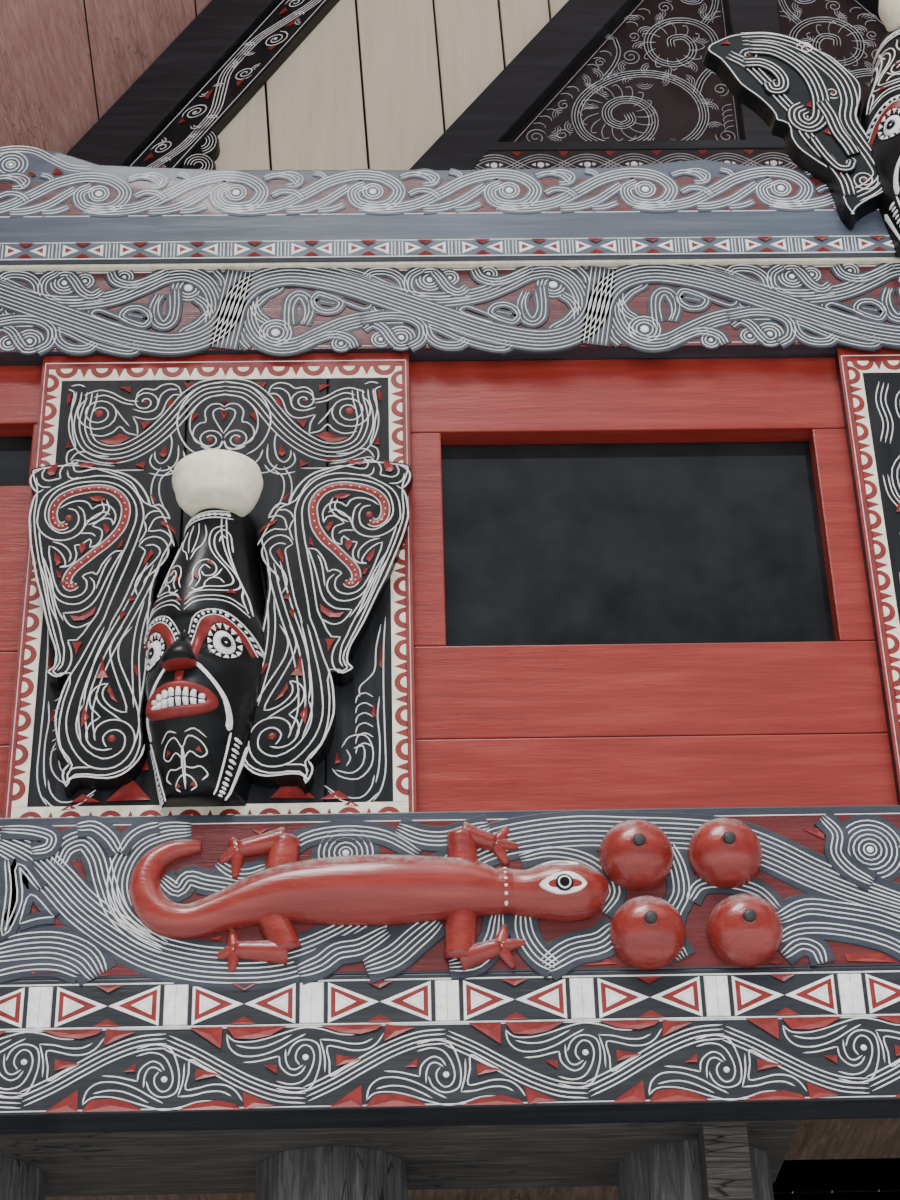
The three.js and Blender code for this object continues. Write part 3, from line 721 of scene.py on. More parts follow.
def dress_glass():
    for name in ("front_glass", "back_glass", "left_glass", "right_glass"):
        nodes[name].data.materials.clear()
        nodes[name].data.materials.append(PANE)


# Faces to carve on: each turns a place on the face, and a height above it, into a point of the house

def front_face(face_y, middle=0.0, side=1):
    """The plane of a board on the front. side=-1 mirrors what is carved."""
    return lambda u, v, lift: (middle + side * u, face_y - lift, v)


BOARD_HALF = 2806.0
LINE = 3.6
# How much higher each stream's strap lies than the one before it
STEP_UP = 0.13
SCROLL_FACE = -4060.0
BEAM_FACE = -4045.0
RAIL_FACE = -4075.0
BORDER_STEP = 20.0


class Band(Carving):
    """Carving on a long board: it stops at the board's ends."""

    def __init__(self, place, low, high):
        super().__init__(place)
        self.low = low
        self.high = high
        self.shift = (0.0, 0.0)
        self.turn = (1, 1)

    def at(self, du, dv, turn_u=1, turn_v=1):
        """What follows is drawn about a new origin, mirrored where a turn is -1."""
        self.shift = (du, dv)
        self.turn = (turn_u, turn_v)

    def moved(self, line):
        return [(self.shift[0] + self.turn[0] * u, self.shift[1] + self.turn[1] * v) for u, v in line]

    def runs(self, line):
        """The stretches of a line that stay between the band's ends."""
        run = []
        for u, v in self.moved(line):
            if self.low <= u <= self.high:
                run.append((u, v))
            else:
                if len(run) > 1:
                    yield run
                run = []
        if len(run) > 1:
            yield run

    def stroke(self, line, width=LINE, height=1.4, material=WHITE, base=0.0, taper=True):
        for run in self.runs(line):
            super().stroke(run, width, height, material, base, taper)

    def strap(self, line, width, top, material, base=0.0):
        for run in self.runs(line):
            super().strap(run, width, top, material, base)

    def dot(self, u, v, radius, height=2.4, material=WHITE, base=0.0, sides=12):
        (u, v), = self.moved([(u, v)])
        if self.low + radius < u < self.high - radius:
            super().dot(u, v, radius, height, material, base, sides)

    def within(self, outline):
        return all(self.low <= u <= self.high for u, _ in outline)

    def field(self, outline, thick=2.0, material=RED_CUT, base=0.0, bevel=1.0):
        outline = self.moved(outline)
        if self.within(outline):
            super().field(outline, thick, material, base, bevel)

    def hollow(self, outline, deep=2.6, rim=2.8, material=RED_CUT, base=0.0):
        outline = self.moved(outline)
        if self.within(outline):
            super().hollow(outline, deep, rim, material, base)

    def curves(self, lines):
        for line in lines:
            self.stroke(smooth(line, 3))

    def chips(self, outlines):
        for outline in outlines:
            self.hollow(outline)

    def disc(self, u, v, radius, thick, material, squash=1.0):
        self.field(ellipse(u, v, radius, radius * squash, 20), thick, material, bevel=0.6)

    def rings(self, u, v, radii, squash=1.0, **rest):
        for radius in radii:
            circle = ellipse(u, v, radius, radius * squash, max(12, int(radius / 2)))
            self.stroke(circle + circle[:1], taper=False, **rest)

    def eye(self, u, v, middle, radii, reach, over, squash=1.0):
        """A dot in rings on a raised disc."""
        self.disc(u, v, reach, over, SLATE, squash)
        self.dot(u, v, middle, base=over)
        self.rings(u, v, radii, squash, base=over)

    def raised_stream(self, guide, count, gap, margin, over, material=SLATE, width=LINE, pinch=0.0):
        """A stream on its own strap, so that it passes over the streams below it."""
        self.strap(smooth(guide, 4), count * gap + margin, over, material)
        self.stream(guide, spread(count, gap), 4, width, pinch, base=over)

    def ground(self, low, high):
        """A thin dark red field from end to end, which shows between the straps."""
        left, right = self.low + 1, self.high - 1
        self.field([(left, low), (right, low), (right, high), (left, high)], 0.6, DEEP_RED, bevel=0.5)

    def border(self, height, width):
        """A white line from end to end."""
        self.at(0, 0)
        count = round((self.high - self.low) / BORDER_STEP)
        self.stroke([(self.low + BORDER_STEP * k, height) for k in range(count)], width, taper=False)

    def repeats(self, start, step):
        """The numbers of all the repeats that can reach the board, counted from the one at the start."""
        return range(math.floor((self.low - start) / step) - 1, math.ceil((self.high - start) / step) + 2)


def spread(count, gap):
    """Sideways places of a number of lines, evenly about the middle."""
    return [(index - (count - 1) / 2) * gap for index in range(count)]


# The lowest band: running scrolls, each turned over to make the next

SCROLL_MIDDLE = 2107.5
SCROLL_STEP = 245.0
SCROLL_START = -1050.0
SCROLL_WAVE = [(0, 50), (50, 26), (100, -3), (150, -30), (200, -48), (246, -52)]
SCROLL_LINES = [
    [(-50, 38), (-17, 46), (8, 38), (21, 12), (26, -17), (21, -42), (4, -50), (-12, -48), (-25, -37),
     (-31, -21)],
    [(-50, 25), (-25, 31), (-4, 25), (10, 4), (15, -21), (8, -37), (-4, -40), (-15, -29), (-17, -15),
     (-10, -4)],
    [(-46, -21), (-44, -4), (-35, 8), (-21, 15), (-8, 10), (0, -2)],
    [(-35, -33), (-34, -12), (-27, 2), (-17, 4), (-4, -4)],
    [(96, -12), (67, 4), (44, 17), (42, -8), (38, -37), (58, -35), (83, -29), (108, -31), (125, -42),
     (137, -60)],
    [(34, 10), (33, -20), (25, -50)],
    [(25, -50), (50, -48), (75, -42), (100, -42), (117, -50)],
    [(-139, -60), (-133, -38), (-117, -24), (-95, -21), (-71, -25), (-46, -35), (-21, -50), (0, -61)],
    [(-122, -42), (-100, -37), (-75, -38), (-50, -47), (-25, -60)],
    [(-108, -10), (-83, -12), (-62, -17), (-46, -21)],
    [(-139, -62), (-125, -50), (-96, -48), (-67, -54), (-33, -65), (0, -73), (33, -68), (58, -60), (85, -58)],
]
SCROLL_CHIPS = [
    [(54, 0), (54, -21), (98, -12)],
    [(-73, -4), (-50, 12), (-50, -4)],
    [(-204, -75), (-148, -35), (-146, -75)],
    [(-140, -75), (-125, -54), (-92, -52), (-62, -58), (-33, -75)],
    [(25, -75), (58, -62), (96, -58), (125, -66), (135, -75)],
    [(140, -75), (137, -44), (192, -69)],
]
SCROLL_EDGES = (2036.0, 2182.0)


def carve_scrolls(band):
    for index in band.repeats(SCROLL_START, SCROLL_STEP):
        turn = 1 if index % 2 == 0 else -1
        band.at(SCROLL_START + index * SCROLL_STEP, SCROLL_MIDDLE, 1, turn)
        band.stream(SCROLL_WAVE, (-13, -4.5, 4.5, 13), 4, LINE)
        band.curves(SCROLL_LINES)
        band.chips(SCROLL_CHIPS)
        band.dot(0, -18, 6)
    for height in SCROLL_EDGES:
        band.border(height, 3.0)


TRIANGLES_LOW = 2187.5
TRIANGLES_HIGH = 2264.6
TRIANGLES_STEP = 240.0
TRIANGLES_START = -1165.0
HOURGLASS_HALF = 91.5
HOURGLASS_LAYERS = [
    # how far the base stands in, how much lower it is at each end, the tip, thickness, material, bevel
    (0, 0, 0, 1.4, WHITE, 0.8), (5, 8, 18, 2.2, RED_CUT, 0.6), (13, 19, 40, 3.0, WHITE, 0.6),
]
HOURGLASS_POCKET = (17, 25, 50)
BAR_WIDE = 22.0
BAR_GAP = 7.0


def half_hourglass(side, half_high, back, less, tip):
    base = side * HOURGLASS_HALF - side * back
    return [(base, -half_high + less), (side * tip, 0), (base, half_high - less)]


def carve_triangles(band):
    """Hourglasses of two red and cream triangles, with a pair of white bars between them."""
    half_high = (TRIANGLES_HIGH - TRIANGLES_LOW) / 2
    middle = (TRIANGLES_HIGH + TRIANGLES_LOW) / 2
    for index in band.repeats(TRIANGLES_START, TRIANGLES_STEP):
        band.at(TRIANGLES_START + index * TRIANGLES_STEP, middle)
        for side in (-1, 1):
            for back, less, tip, thick, material, bevel in HOURGLASS_LAYERS:
                band.field(half_hourglass(side, half_high, back, less, tip), thick, material, bevel=bevel)
            band.hollow(half_hourglass(side, half_high, *HOURGLASS_POCKET), 2.4, 3.6, CREAM)
            band.hollow([(-24, side * half_high), (24, side * half_high), (0, side * (half_high - 14))])
            bar = side * (HOURGLASS_HALF + BAR_GAP + BAR_WIDE / 2)
            near, far = bar - BAR_WIDE / 2, bar + BAR_WIDE / 2
            outline = [(near, -half_high), (far, -half_high), (far, half_high), (near, half_high)]
            band.field(outline, 3.0, WHITE, bevel=1.5)
    for height in (TRIANGLES_LOW - 2, TRIANGLES_HIGH + 3):
        band.border(height, 4.0)


# The band behind the lizard: streams that part, coil and cross, drawn for the left half

LIZARD_STREAMS = [
    # guide, how many lines, the gap between them
    ([(-1868, 2556), (-1830, 2538), (-1799, 2519), (-1755, 2475), (-1705, 2419), (-1642, 2369), (-1580, 2331),
      (-1517, 2310), (-1455, 2300), (-1361, 2300), (-1300, 2314), (-1240, 2342), (-1190, 2374),
      (-1140, 2410)], 8, 9.5),
    ([(-1752, 2502), (-1738, 2538), (-1706, 2550), (-1680, 2520), (-1664, 2470), (-1640, 2410), (-1600, 2366),
      (-1550, 2335)], 5, 9.5),
    ([(-1510, 2570), (-1560, 2566), (-1606, 2545), (-1634, 2500), (-1640, 2450), (-1620, 2400),
      (-1575, 2362)], 5, 9),
    ([(-1860, 2330), (-1800, 2342), (-1740, 2342), (-1690, 2320), (-1664, 2284)], 6, 10),
    ([(-1860, 2286), (-1800, 2300), (-1740, 2300), (-1700, 2284)], 2, 10),
    ([(-1560, 2470), (-1530, 2448), (-1512, 2470), (-1480, 2462), (-1430, 2452), (-1390, 2440)], 4, 9),
    ([(-1460, 2500), (-1430, 2480), (-1400, 2478), (-1370, 2490)], 3, 9),
    ([(-1350, 2508), (-1300, 2548), (-1225, 2562), (-1150, 2550), (-1090, 2512)], 3, 9),
    ([(-1130, 2566), (-1085, 2546), (-1040, 2543), (-1000, 2555), (-960, 2566)], 4, 9),
    ([(-1060, 2460), (-1010, 2500), (-960, 2528), (-880, 2546), (-790, 2554), (-700, 2550), (-600, 2545),
      (-510, 2532), (-440, 2502), (-370, 2462), (-290, 2424), (-196, 2388)], 7, 10),
    ([(-905, 2500), (-850, 2512), (-790, 2500), (-750, 2470), (-735, 2430), (-760, 2390)], 3, 9.5),
    ([(-632, 2525), (-616, 2475), (-614, 2425), (-632, 2388), (-640, 2340), (-620, 2298)], 4, 9.5),
    ([(-600, 2412), (-580, 2440), (-545, 2446), (-505, 2440), (-470, 2425), (-440, 2390)], 3, 9.5),
    ([(-440, 2372), (-390, 2394), (-335, 2388), (-260, 2372), (-198, 2345)], 4, 10),
    ([(-448, 2330), (-410, 2350), (-345, 2350), (-250, 2325), (-205, 2296)], 3, 10),
    ([(-440, 2300), (-405, 2322), (-378, 2312), (-370, 2284)], 3, 10),
    ([(-905, 2395), (-902, 2350), (-880, 2310), (-850, 2286)], 4, 10),
    ([(-870, 2286), (-820, 2318), (-765, 2332), (-735, 2360)], 5, 10),
    ([(-1310, 2284), (-1270, 2300), (-1240, 2322), (-1200, 2330), (-1150, 2360)], 4, 10),
    ([(-1190, 2290), (-1140, 2310), (-1100, 2345), (-1060, 2380)], 5, 10),
    ([(-1040, 2290), (-990, 2300), (-960, 2340), (-950, 2390)], 4, 9),
    ([(-1845, 2512), (-1836, 2450), (-1838, 2366), (-1815, 2430), (-1822, 2500), (-1780, 2452)], 2, 9),
    ([(-1812, 2384), (-1796, 2442), (-1750, 2397)], 1, 9),
    ([(-1812, 2384), (-1780, 2394), (-1750, 2397)], 1, 9),
    ([(-1720, 2576), (-1690, 2578), (-1660, 2556), (-1640, 2524)], 3, 9),
    ([(-1570, 2580), (-1600, 2572), (-1622, 2556), (-1640, 2524)], 2, 9),
    ([(-1858, 2574), (-1800, 2570), (-1766, 2556), (-1770, 2536), (-1800, 2528)], 3, 8),
    ([(-340, 2574), (-316, 2540), (-322, 2500), (-300, 2466), (-262, 2440)], 3, 9),
]
LIZARD_CHIPS = [
    [(-1652, 2566), (-1634, 2566), (-1642, 2552)],
    [(-1732, 2512), (-1712, 2500), (-1694, 2466), (-1712, 2484)],
    [(-1792, 2416), (-1770, 2402), (-1790, 2401)], [(-1665, 2295), (-1640, 2284), (-1664, 2282)],
    [(-1540, 2437), (-1503, 2454), (-1514, 2442)], [(-1400, 2568), (-1366, 2570), (-1384, 2556)],
    [(-1224, 2300), (-1214, 2328), (-1204, 2300)], [(-1176, 2325), (-1150, 2345), (-1135, 2345)],
    [(-1122, 2558), (-1050, 2556), (-1080, 2548)], [(-980, 2562), (-945, 2562), (-965, 2556)],
    [(-812, 2514), (-790, 2514), (-790, 2502)], [(-800, 2288), (-768, 2306), (-738, 2290)],
    [(-596, 2464), (-576, 2448), (-596, 2446)], [(-446, 2416), (-420, 2402), (-446, 2402)],
    [(-380, 2552), (-336, 2552), (-342, 2530)], [(-330, 2302), (-262, 2302), (-240, 2284), (-326, 2288)],
    [(-652, 2564), (-606, 2566), (-618, 2556)], [(-1788, 2296), (-1730, 2292), (-1780, 2288)],
    [(-470, 2288), (-440, 2290), (-452, 2282)], [(-1470, 2350), (-1446, 2356), (-1450, 2344)],
]
LIZARD_RINGS = [(-1225, 2517, 5, 1.0), (-258, 2508, 6, 1.0)]
LIZARD_BAND = (2283.0, 2581.0)
LIZARD_TURN_AT = -1864.0
LIZARD_OVER = 1.6
RING_GAP = 9.5
MIDDLE_STREAMS = [
    # guide, how many lines
    ([(-196, 2500), (-150, 2540), (-90, 2556), (0, 2560)], 4),
    ([(-196, 2380), (-140, 2420), (-70, 2440), (0, 2440)], 6),
    ([(-200, 2310), (-150, 2350), (-90, 2330), (-50, 2290)], 4),
]
MIDDLE_CHIPS = [[(-130, 2500), (-80, 2510), (-60, 2490), (-110, 2480)], [(-30, 2300), (0, 2345), (0, 2290)]]
MIDDLE_EYE = (0, 2500)


def ring_radii(count):
    return [12 + RING_GAP * k for k in range(count)]


def carve_lizard_half(band, over):
    for index, (guide, count, gap) in enumerate(LIZARD_STREAMS):
        band.raised_stream(guide, count, gap, 18, over + index * STEP_UP, pinch=0.35)
    band.chips(LIZARD_CHIPS)
    for u, v, count, squash in LIZARD_RINGS:
        band.eye(u, v, 7, ring_radii(count), 16 + RING_GAP * count, over * 0.8, squash)


def carve_lizard_board(band):
    """The left half's streams, mirrored to the right, and mirrored again beyond the outer scroll."""
    band.ground(*LIZARD_BAND)
    for side in (1, -1):
        band.low, band.high = (-BOARD_HALF, 0) if side == 1 else (0, BOARD_HALF)
        band.at(0, 0, side)
        carve_lizard_half(band, LIZARD_OVER)
        band.low, band.high = (-BOARD_HALF, LIZARD_TURN_AT) if side == 1 else (-LIZARD_TURN_AT, BOARD_HALF)
        band.at(side * 2 * LIZARD_TURN_AT, 0, -side)
        carve_lizard_half(band, LIZARD_OVER * 0.5)
    band.low, band.high = -BOARD_HALF, BOARD_HALF
    for side in (1, -1):
        band.at(0, 0, side)
        for guide, count in MIDDLE_STREAMS:
            band.raised_stream(guide, count, RING_GAP, 14, LIZARD_OVER)
        band.chips(MIDDLE_CHIPS)
    band.at(0, 0)
    band.eye(*MIDDLE_EYE, 7, ring_radii(3), 42, LIZARD_OVER)
    band.border(LIZARD_BAND[1], 4.0)


# The beam over the wall: two long streams that cross between one trunk and the next

BEAM_STEP = 785.0
BEAM_TRUNK = -1470.0
BEAM_MIDDLE = (-1077.0, 3805.0)
BEAM_LONG = [(-1484, 3700), (-1474, 3760), (-1462, 3820), (-1436, 3862), (-1395, 3888), (-1345, 3897),
             (-1285, 3888), (-1225, 3870), (-1160, 3842), (-1077, 3805)]
BEAM_STREAMS = [
    ([(-1432, 3826), (-1434, 3780), (-1412, 3730), (-1370, 3706), (-1325, 3712), (-1280, 3738), (-1220, 3768),
      (-1150, 3782), (-1080, 3780), (-1010, 3758), (-940, 3728), (-880, 3700)], 5, 8.5),
    ([(-1418, 3862), (-1424, 3826), (-1412, 3790), (-1392, 3772)], 3, 8),
    ([(-1362, 3884), (-1366, 3864), (-1396, 3842), (-1420, 3812)], 2, 8),
    ([(-1350, 3746), (-1352, 3800), (-1346, 3836), (-1328, 3850), (-1308, 3840), (-1300, 3800),
      (-1312, 3762)], 2, 9),
    ([(-1336, 3762), (-1338, 3812), (-1326, 3836), (-1314, 3812), (-1314, 3782), (-1322, 3764)], 1, 9),
    ([(-1276, 3900), (-1262, 3910), (-1225, 3904), (-1175, 3884), (-1130, 3858), (-1104, 3846)], 4, 8),
    ([(-1184, 3892), (-1168, 3906), (-1130, 3904), (-1106, 3884), (-1098, 3850)], 3, 8),
    ([(-1330, 3700), (-1292, 3722), (-1252, 3736), (-1218, 3724), (-1206, 3700)], 3, 8),
    ([(-1190, 3750), (-1170, 3764), (-1148, 3752), (-1130, 3722), (-1118, 3706)], 3, 8),
    ([(-1062, 3912), (-1088, 3892), (-1090, 3856), (-1066, 3834), (-1020, 3826), (-960, 3838)], 3, 8),
    ([(-1298, 3830), (-1286, 3846), (-1264, 3840), (-1236, 3822), (-1246, 3802), (-1272, 3798), (-1292, 3812),
      (-1298, 3830)], 2, 8),
    ([(-1450, 3742), (-1446, 3722), (-1430, 3700)], 2, 8),
    ([(-1282, 3826), (-1250, 3818)], 1, 8),
    ([(-1250, 3836), (-1215, 3816), (-1184, 3804), (-1172, 3814), (-1200, 3832), (-1240, 3848)], 1, 8),
]
BEAM_EYES = [
    # along, up, the dot and the rings round it
    (-1375, 3743, 10, [18, 26, 34]), (-1045, 3884, 7, [14, 22, 30]), (-1262, 3880, 6, [13, 21]),
    (-1152, 3722, 5, [12, 19]), (-1236, 3712, 5, [12, 19]), (-1000, 3800, 5, [12, 19]),
]
BEAM_TRUNK_CHIPS = [
    [(-20, 3910), (18, 3910), (0, 3874)], [(-12, 3748), (-5, 3722), (-12, 3696), (-19, 3722)],
    [(-62, 3698), (-52, 3712), (-40, 3698)], [(22, 3698), (26, 3714), (44, 3698)],
]
BEAM_EDGES = (3706.0, 3912.0)
BEAM_OVER = 1.9
BEAM_GROUND = (3698.0, 3910.0)
BEAM_LINE = 3.1
BEAM_LONG_COUNT, BEAM_LONG_GAP = 6, 9.4


def carve_beam(band):
    """Each repeat is drawn twice, once turned half round about the crossing of the long streams."""
    centre_u, centre_v = BEAM_MIDDLE
    other = [(2 * centre_u - u, 2 * centre_v - v) for u, v in BEAM_LONG[-2::-1]]
    band.ground(*BEAM_GROUND)
    for index in band.repeats(BEAM_TRUNK, BEAM_STEP):
        step = index * BEAM_STEP
        for turn in (1, -1):
            band.at(step + (0 if turn == 1 else 2 * centre_u), 0 if turn == 1 else 2 * centre_v, turn, turn)
            for order, (guide, count, gap) in enumerate(BEAM_STREAMS):
                over = BEAM_OVER * (1.6 if turn == -1 else 0.8) + order * STEP_UP
                band.raised_stream(guide, count, gap, 9, over, width=BEAM_LINE, pinch=0.12)
            for u, v, middle, radii in BEAM_EYES:
                band.eye(u, v, middle, radii, radii[-1] + 6, BEAM_OVER * 0.7)
        band.at(step, 0)
        band.raised_stream(BEAM_LONG + other, BEAM_LONG_COUNT, BEAM_LONG_GAP, 8, BEAM_OVER * 2.5,
                           width=BEAM_LINE)
        band.chips([[(BEAM_TRUNK + u, v) for u, v in chip] for chip in BEAM_TRUNK_CHIPS])
    for height in BEAM_EDGES:
        band.border(height, 3.4)


# The balcony rail: a ledge, small triangles, a plain strip and a vine under the wavy top

RAIL_HALF = 2874.0
RAIL_TRIANGLES = (3927.0, 3969.0)
RAIL_TRIANGLE_STEP = 123.0
RAIL_TRIANGLE_START = -1176.0
VINE_STEP = 300.0
VINE_START = -1166.0
VINE_DOT = 4110.0
VINE_STREAMS = [
    ([(-330, 4066), (-270, 4060), (-205, 4072), (-150, 4104), (-95, 4140), (-30, 4158), (30, 4146),
      (58, 4112), (40, 4076), (0, 4066), (-36, 4082), (-42, 4112), (-16, 4130)], 4, 8),
    ([(-190, 4058), (-150, 4062), (-110, 4078), (-76, 4104), (-52, 4124)], 3, 8),
    ([(-120, 4056), (-90, 4060), (-64, 4072)], 2, 8),
    ([(-210, 4160), (-180, 4164), (-158, 4150), (-166, 4132), (-190, 4128)], 2, 8),
    ([(-130, 4166), (-112, 4160), (-104, 4150)], 2, 7),
    ([(60, 4150), (88, 4160), (118, 4152), (136, 4130)], 2, 8),
    ([(78, 4100), (100, 4112), (128, 4108), (146, 4090)], 2, 8),
]
VINE_OVER = 1.7
VINE_GROUND = (4049.0, 4145.0)
VINE_EDGE = 4046.0
BUMP_AT = (1965.0, 4198.0)
BUMP_STREAM = [(-180, -16), (-130, -10), (-90, 14), (-50, 40), (0, 46), (60, 30), (110, 4), (180, -14)]
BUMP_CHIPS = [[(-60, -34), (-30, -46), (-44, -24)], [(44, -30), (70, -42), (66, -18)],
              [(-120, -30), (-92, -34), (-100, -12)], [(80, -20), (112, -34), (104, -10)]]


def carve_bumps(band):
    """The two waves of the rail's top: rings under a stream that follows the wave."""
    for side in (-1, 1):
        band.at(side * BUMP_AT[0], BUMP_AT[1], side)
        band.rings(0, 0, [10, 19, 28, 37])
        band.dot(0, 0, 6)
        band.stream(BUMP_STREAM, spread(3, 8), 4, BEAM_LINE, 0.0)
        band.chips(BUMP_CHIPS)


def carve_rail_triangles(band, low, high):
    middle = (low + high) / 2
    half = (high - low) / 2
    for index in band.repeats(RAIL_TRIANGLE_START, RAIL_TRIANGLE_STEP):
        band.at(RAIL_TRIANGLE_START + index * RAIL_TRIANGLE_STEP, middle)
        for side in (-1, 1):
            outer = [(side * 44, -half + 4), (side * 8, 0), (side * 44, half - 4)]
            inner = [(side * 38, -half + 13), (side * 22, 0), (side * 38, half - 13)]
            band.field(outer, 2.0, WHITE, bevel=1.0)
            band.field(inner, 2.8, RED_CUT, bevel=0.5)
            band.hollow([(-18, side * half), (18, side * half), (0, side * (half - 12))])
            for bar in (50, 57):
                band.stroke([(side * bar, -half + 2), (side * bar, 0), (side * bar, half - 2)], 3.4,
                            taper=False)


def carve_vine(band):
    for index in band.repeats(VINE_START, VINE_STEP):
        band.at(VINE_START + index * VINE_STEP, 0)
        for order, (guide, count, gap) in enumerate(VINE_STREAMS):
            over = VINE_OVER + (order + (index % 2) * 0.5) * STEP_UP
            band.raised_stream(guide, count, gap, 7, over, SLATE_PALE, 3.3, 0.2)
        band.disc(0, VINE_DOT, 26, VINE_OVER * 0.8, SLATE_PALE)
        band.dot(0, VINE_DOT, 8, base=VINE_OVER)
        band.rings(0, VINE_DOT, [15, 22], base=VINE_OVER * 0.8)


def carve_rail(band):
    low, high = RAIL_TRIANGLES
    carve_bumps(band)
    carve_rail_triangles(band, low, high)
    band.at(0, 0)
    band.ground(*VINE_GROUND)
    carve_vine(band)
    for height in (low - 1, high + 2, VINE_EDGE):
        band.border(height, 3.4)


def make_bands():
    for name, face_y, half, carvers in (
            ("scroll_band_carving", SCROLL_FACE, BOARD_HALF, (carve_scrolls, carve_triangles)),
            ("lizard_band_carving", SCROLL_FACE, BOARD_HALF, (carve_lizard_board,)),
            ("upper_beam_carving", BEAM_FACE, BOARD_HALF, (carve_beam,)),
            ("rail_carving", RAIL_FACE, RAIL_HALF, (carve_rail,))):
        band = Band(front_face(face_y), -half, half)
        for carve in carvers:
            carve(band)
        band.piece(name)


# Masks: two scroll wings with a wedge-shaped head between them. Heights are above the mask's foot.

MASK_X = 1478.0
MASK_FOOT = 2605.0
PANEL_FACE = -4030.0
RAIL_MASK_AT = (45.0, 3885.0)
WING_THICK = 42.0
HEAD_X = -17.0
HEAD_TURN = math.radians(15)
HEAD_BACK = 40.0
HEAD_SECTIONS = [
    # height, half width, how far the section reaches
    (26, 80, 126), (62, 85, 142), (125, 96, 168), (170, 104, 190), (225, 112, 184), (275, 118, 186),
    (300, 121, 172), (340, 122, 172), (370, 122, 186), (435, 111, 174), (515, 91, 158), (560, 80, 146),
    (600, 72, 134), (640, 66, 126), (656, 64, 124),
]
HEAD_LEAN = 0.10
HEAD_LEAN_ABOVE = 435.0
HEAD_ROWS = 60
HEAD_COLUMNS = 36
CAP_SIDES = 40
CAP_OUT = 88.0
CAP_X = 40.0
CAP_SECTIONS = [(640, 58), (645, 68), (656, 77), (672, 84), (692, 89), (708, 90), (718, 86), (724, 76),
                (727, 56)]
WING_OUTLINE = [
    (-388, 775), (-386, 746), (-379, 725), (-378, 700), (-380, 657), (-370, 585), (-350, 495), (-328, 405),
    (-312, 350), (-307, 322), (-319, 298), (-300, 280), (-285, 284), (-294, 235), (-299, 178), (-292, 130),
    (-270, 95), (-277, 78), (-267, 47), (-247, 65), (-192, 63), (-144, 85), (-123, 135), (-128, 200),
    (-120, 300), (-118, 480), (-97, 560), (-82, 595), (-90, 630), (-114, 680), (-144, 697), (-172, 745),
    (-227, 775), (-292, 792), (-352, 787),
]
WING_LEAN_BELOW = 645.0
WING_LEAN = 0.148
WING_RED_LINE = [
    (-303, 637), (-314, 632), (-326, 640), (-332, 659), (-330, 682), (-318, 701), (-297, 714), (-272, 721),
    (-244, 724), (-218, 718), (-198, 701), (-188, 679), (-188, 654), (-194, 630), (-207, 608), (-223, 589),
    (-243, 571), (-262, 552), (-281, 533), (-292, 515), (-294, 498), (-286, 489), (-276, 496),
]
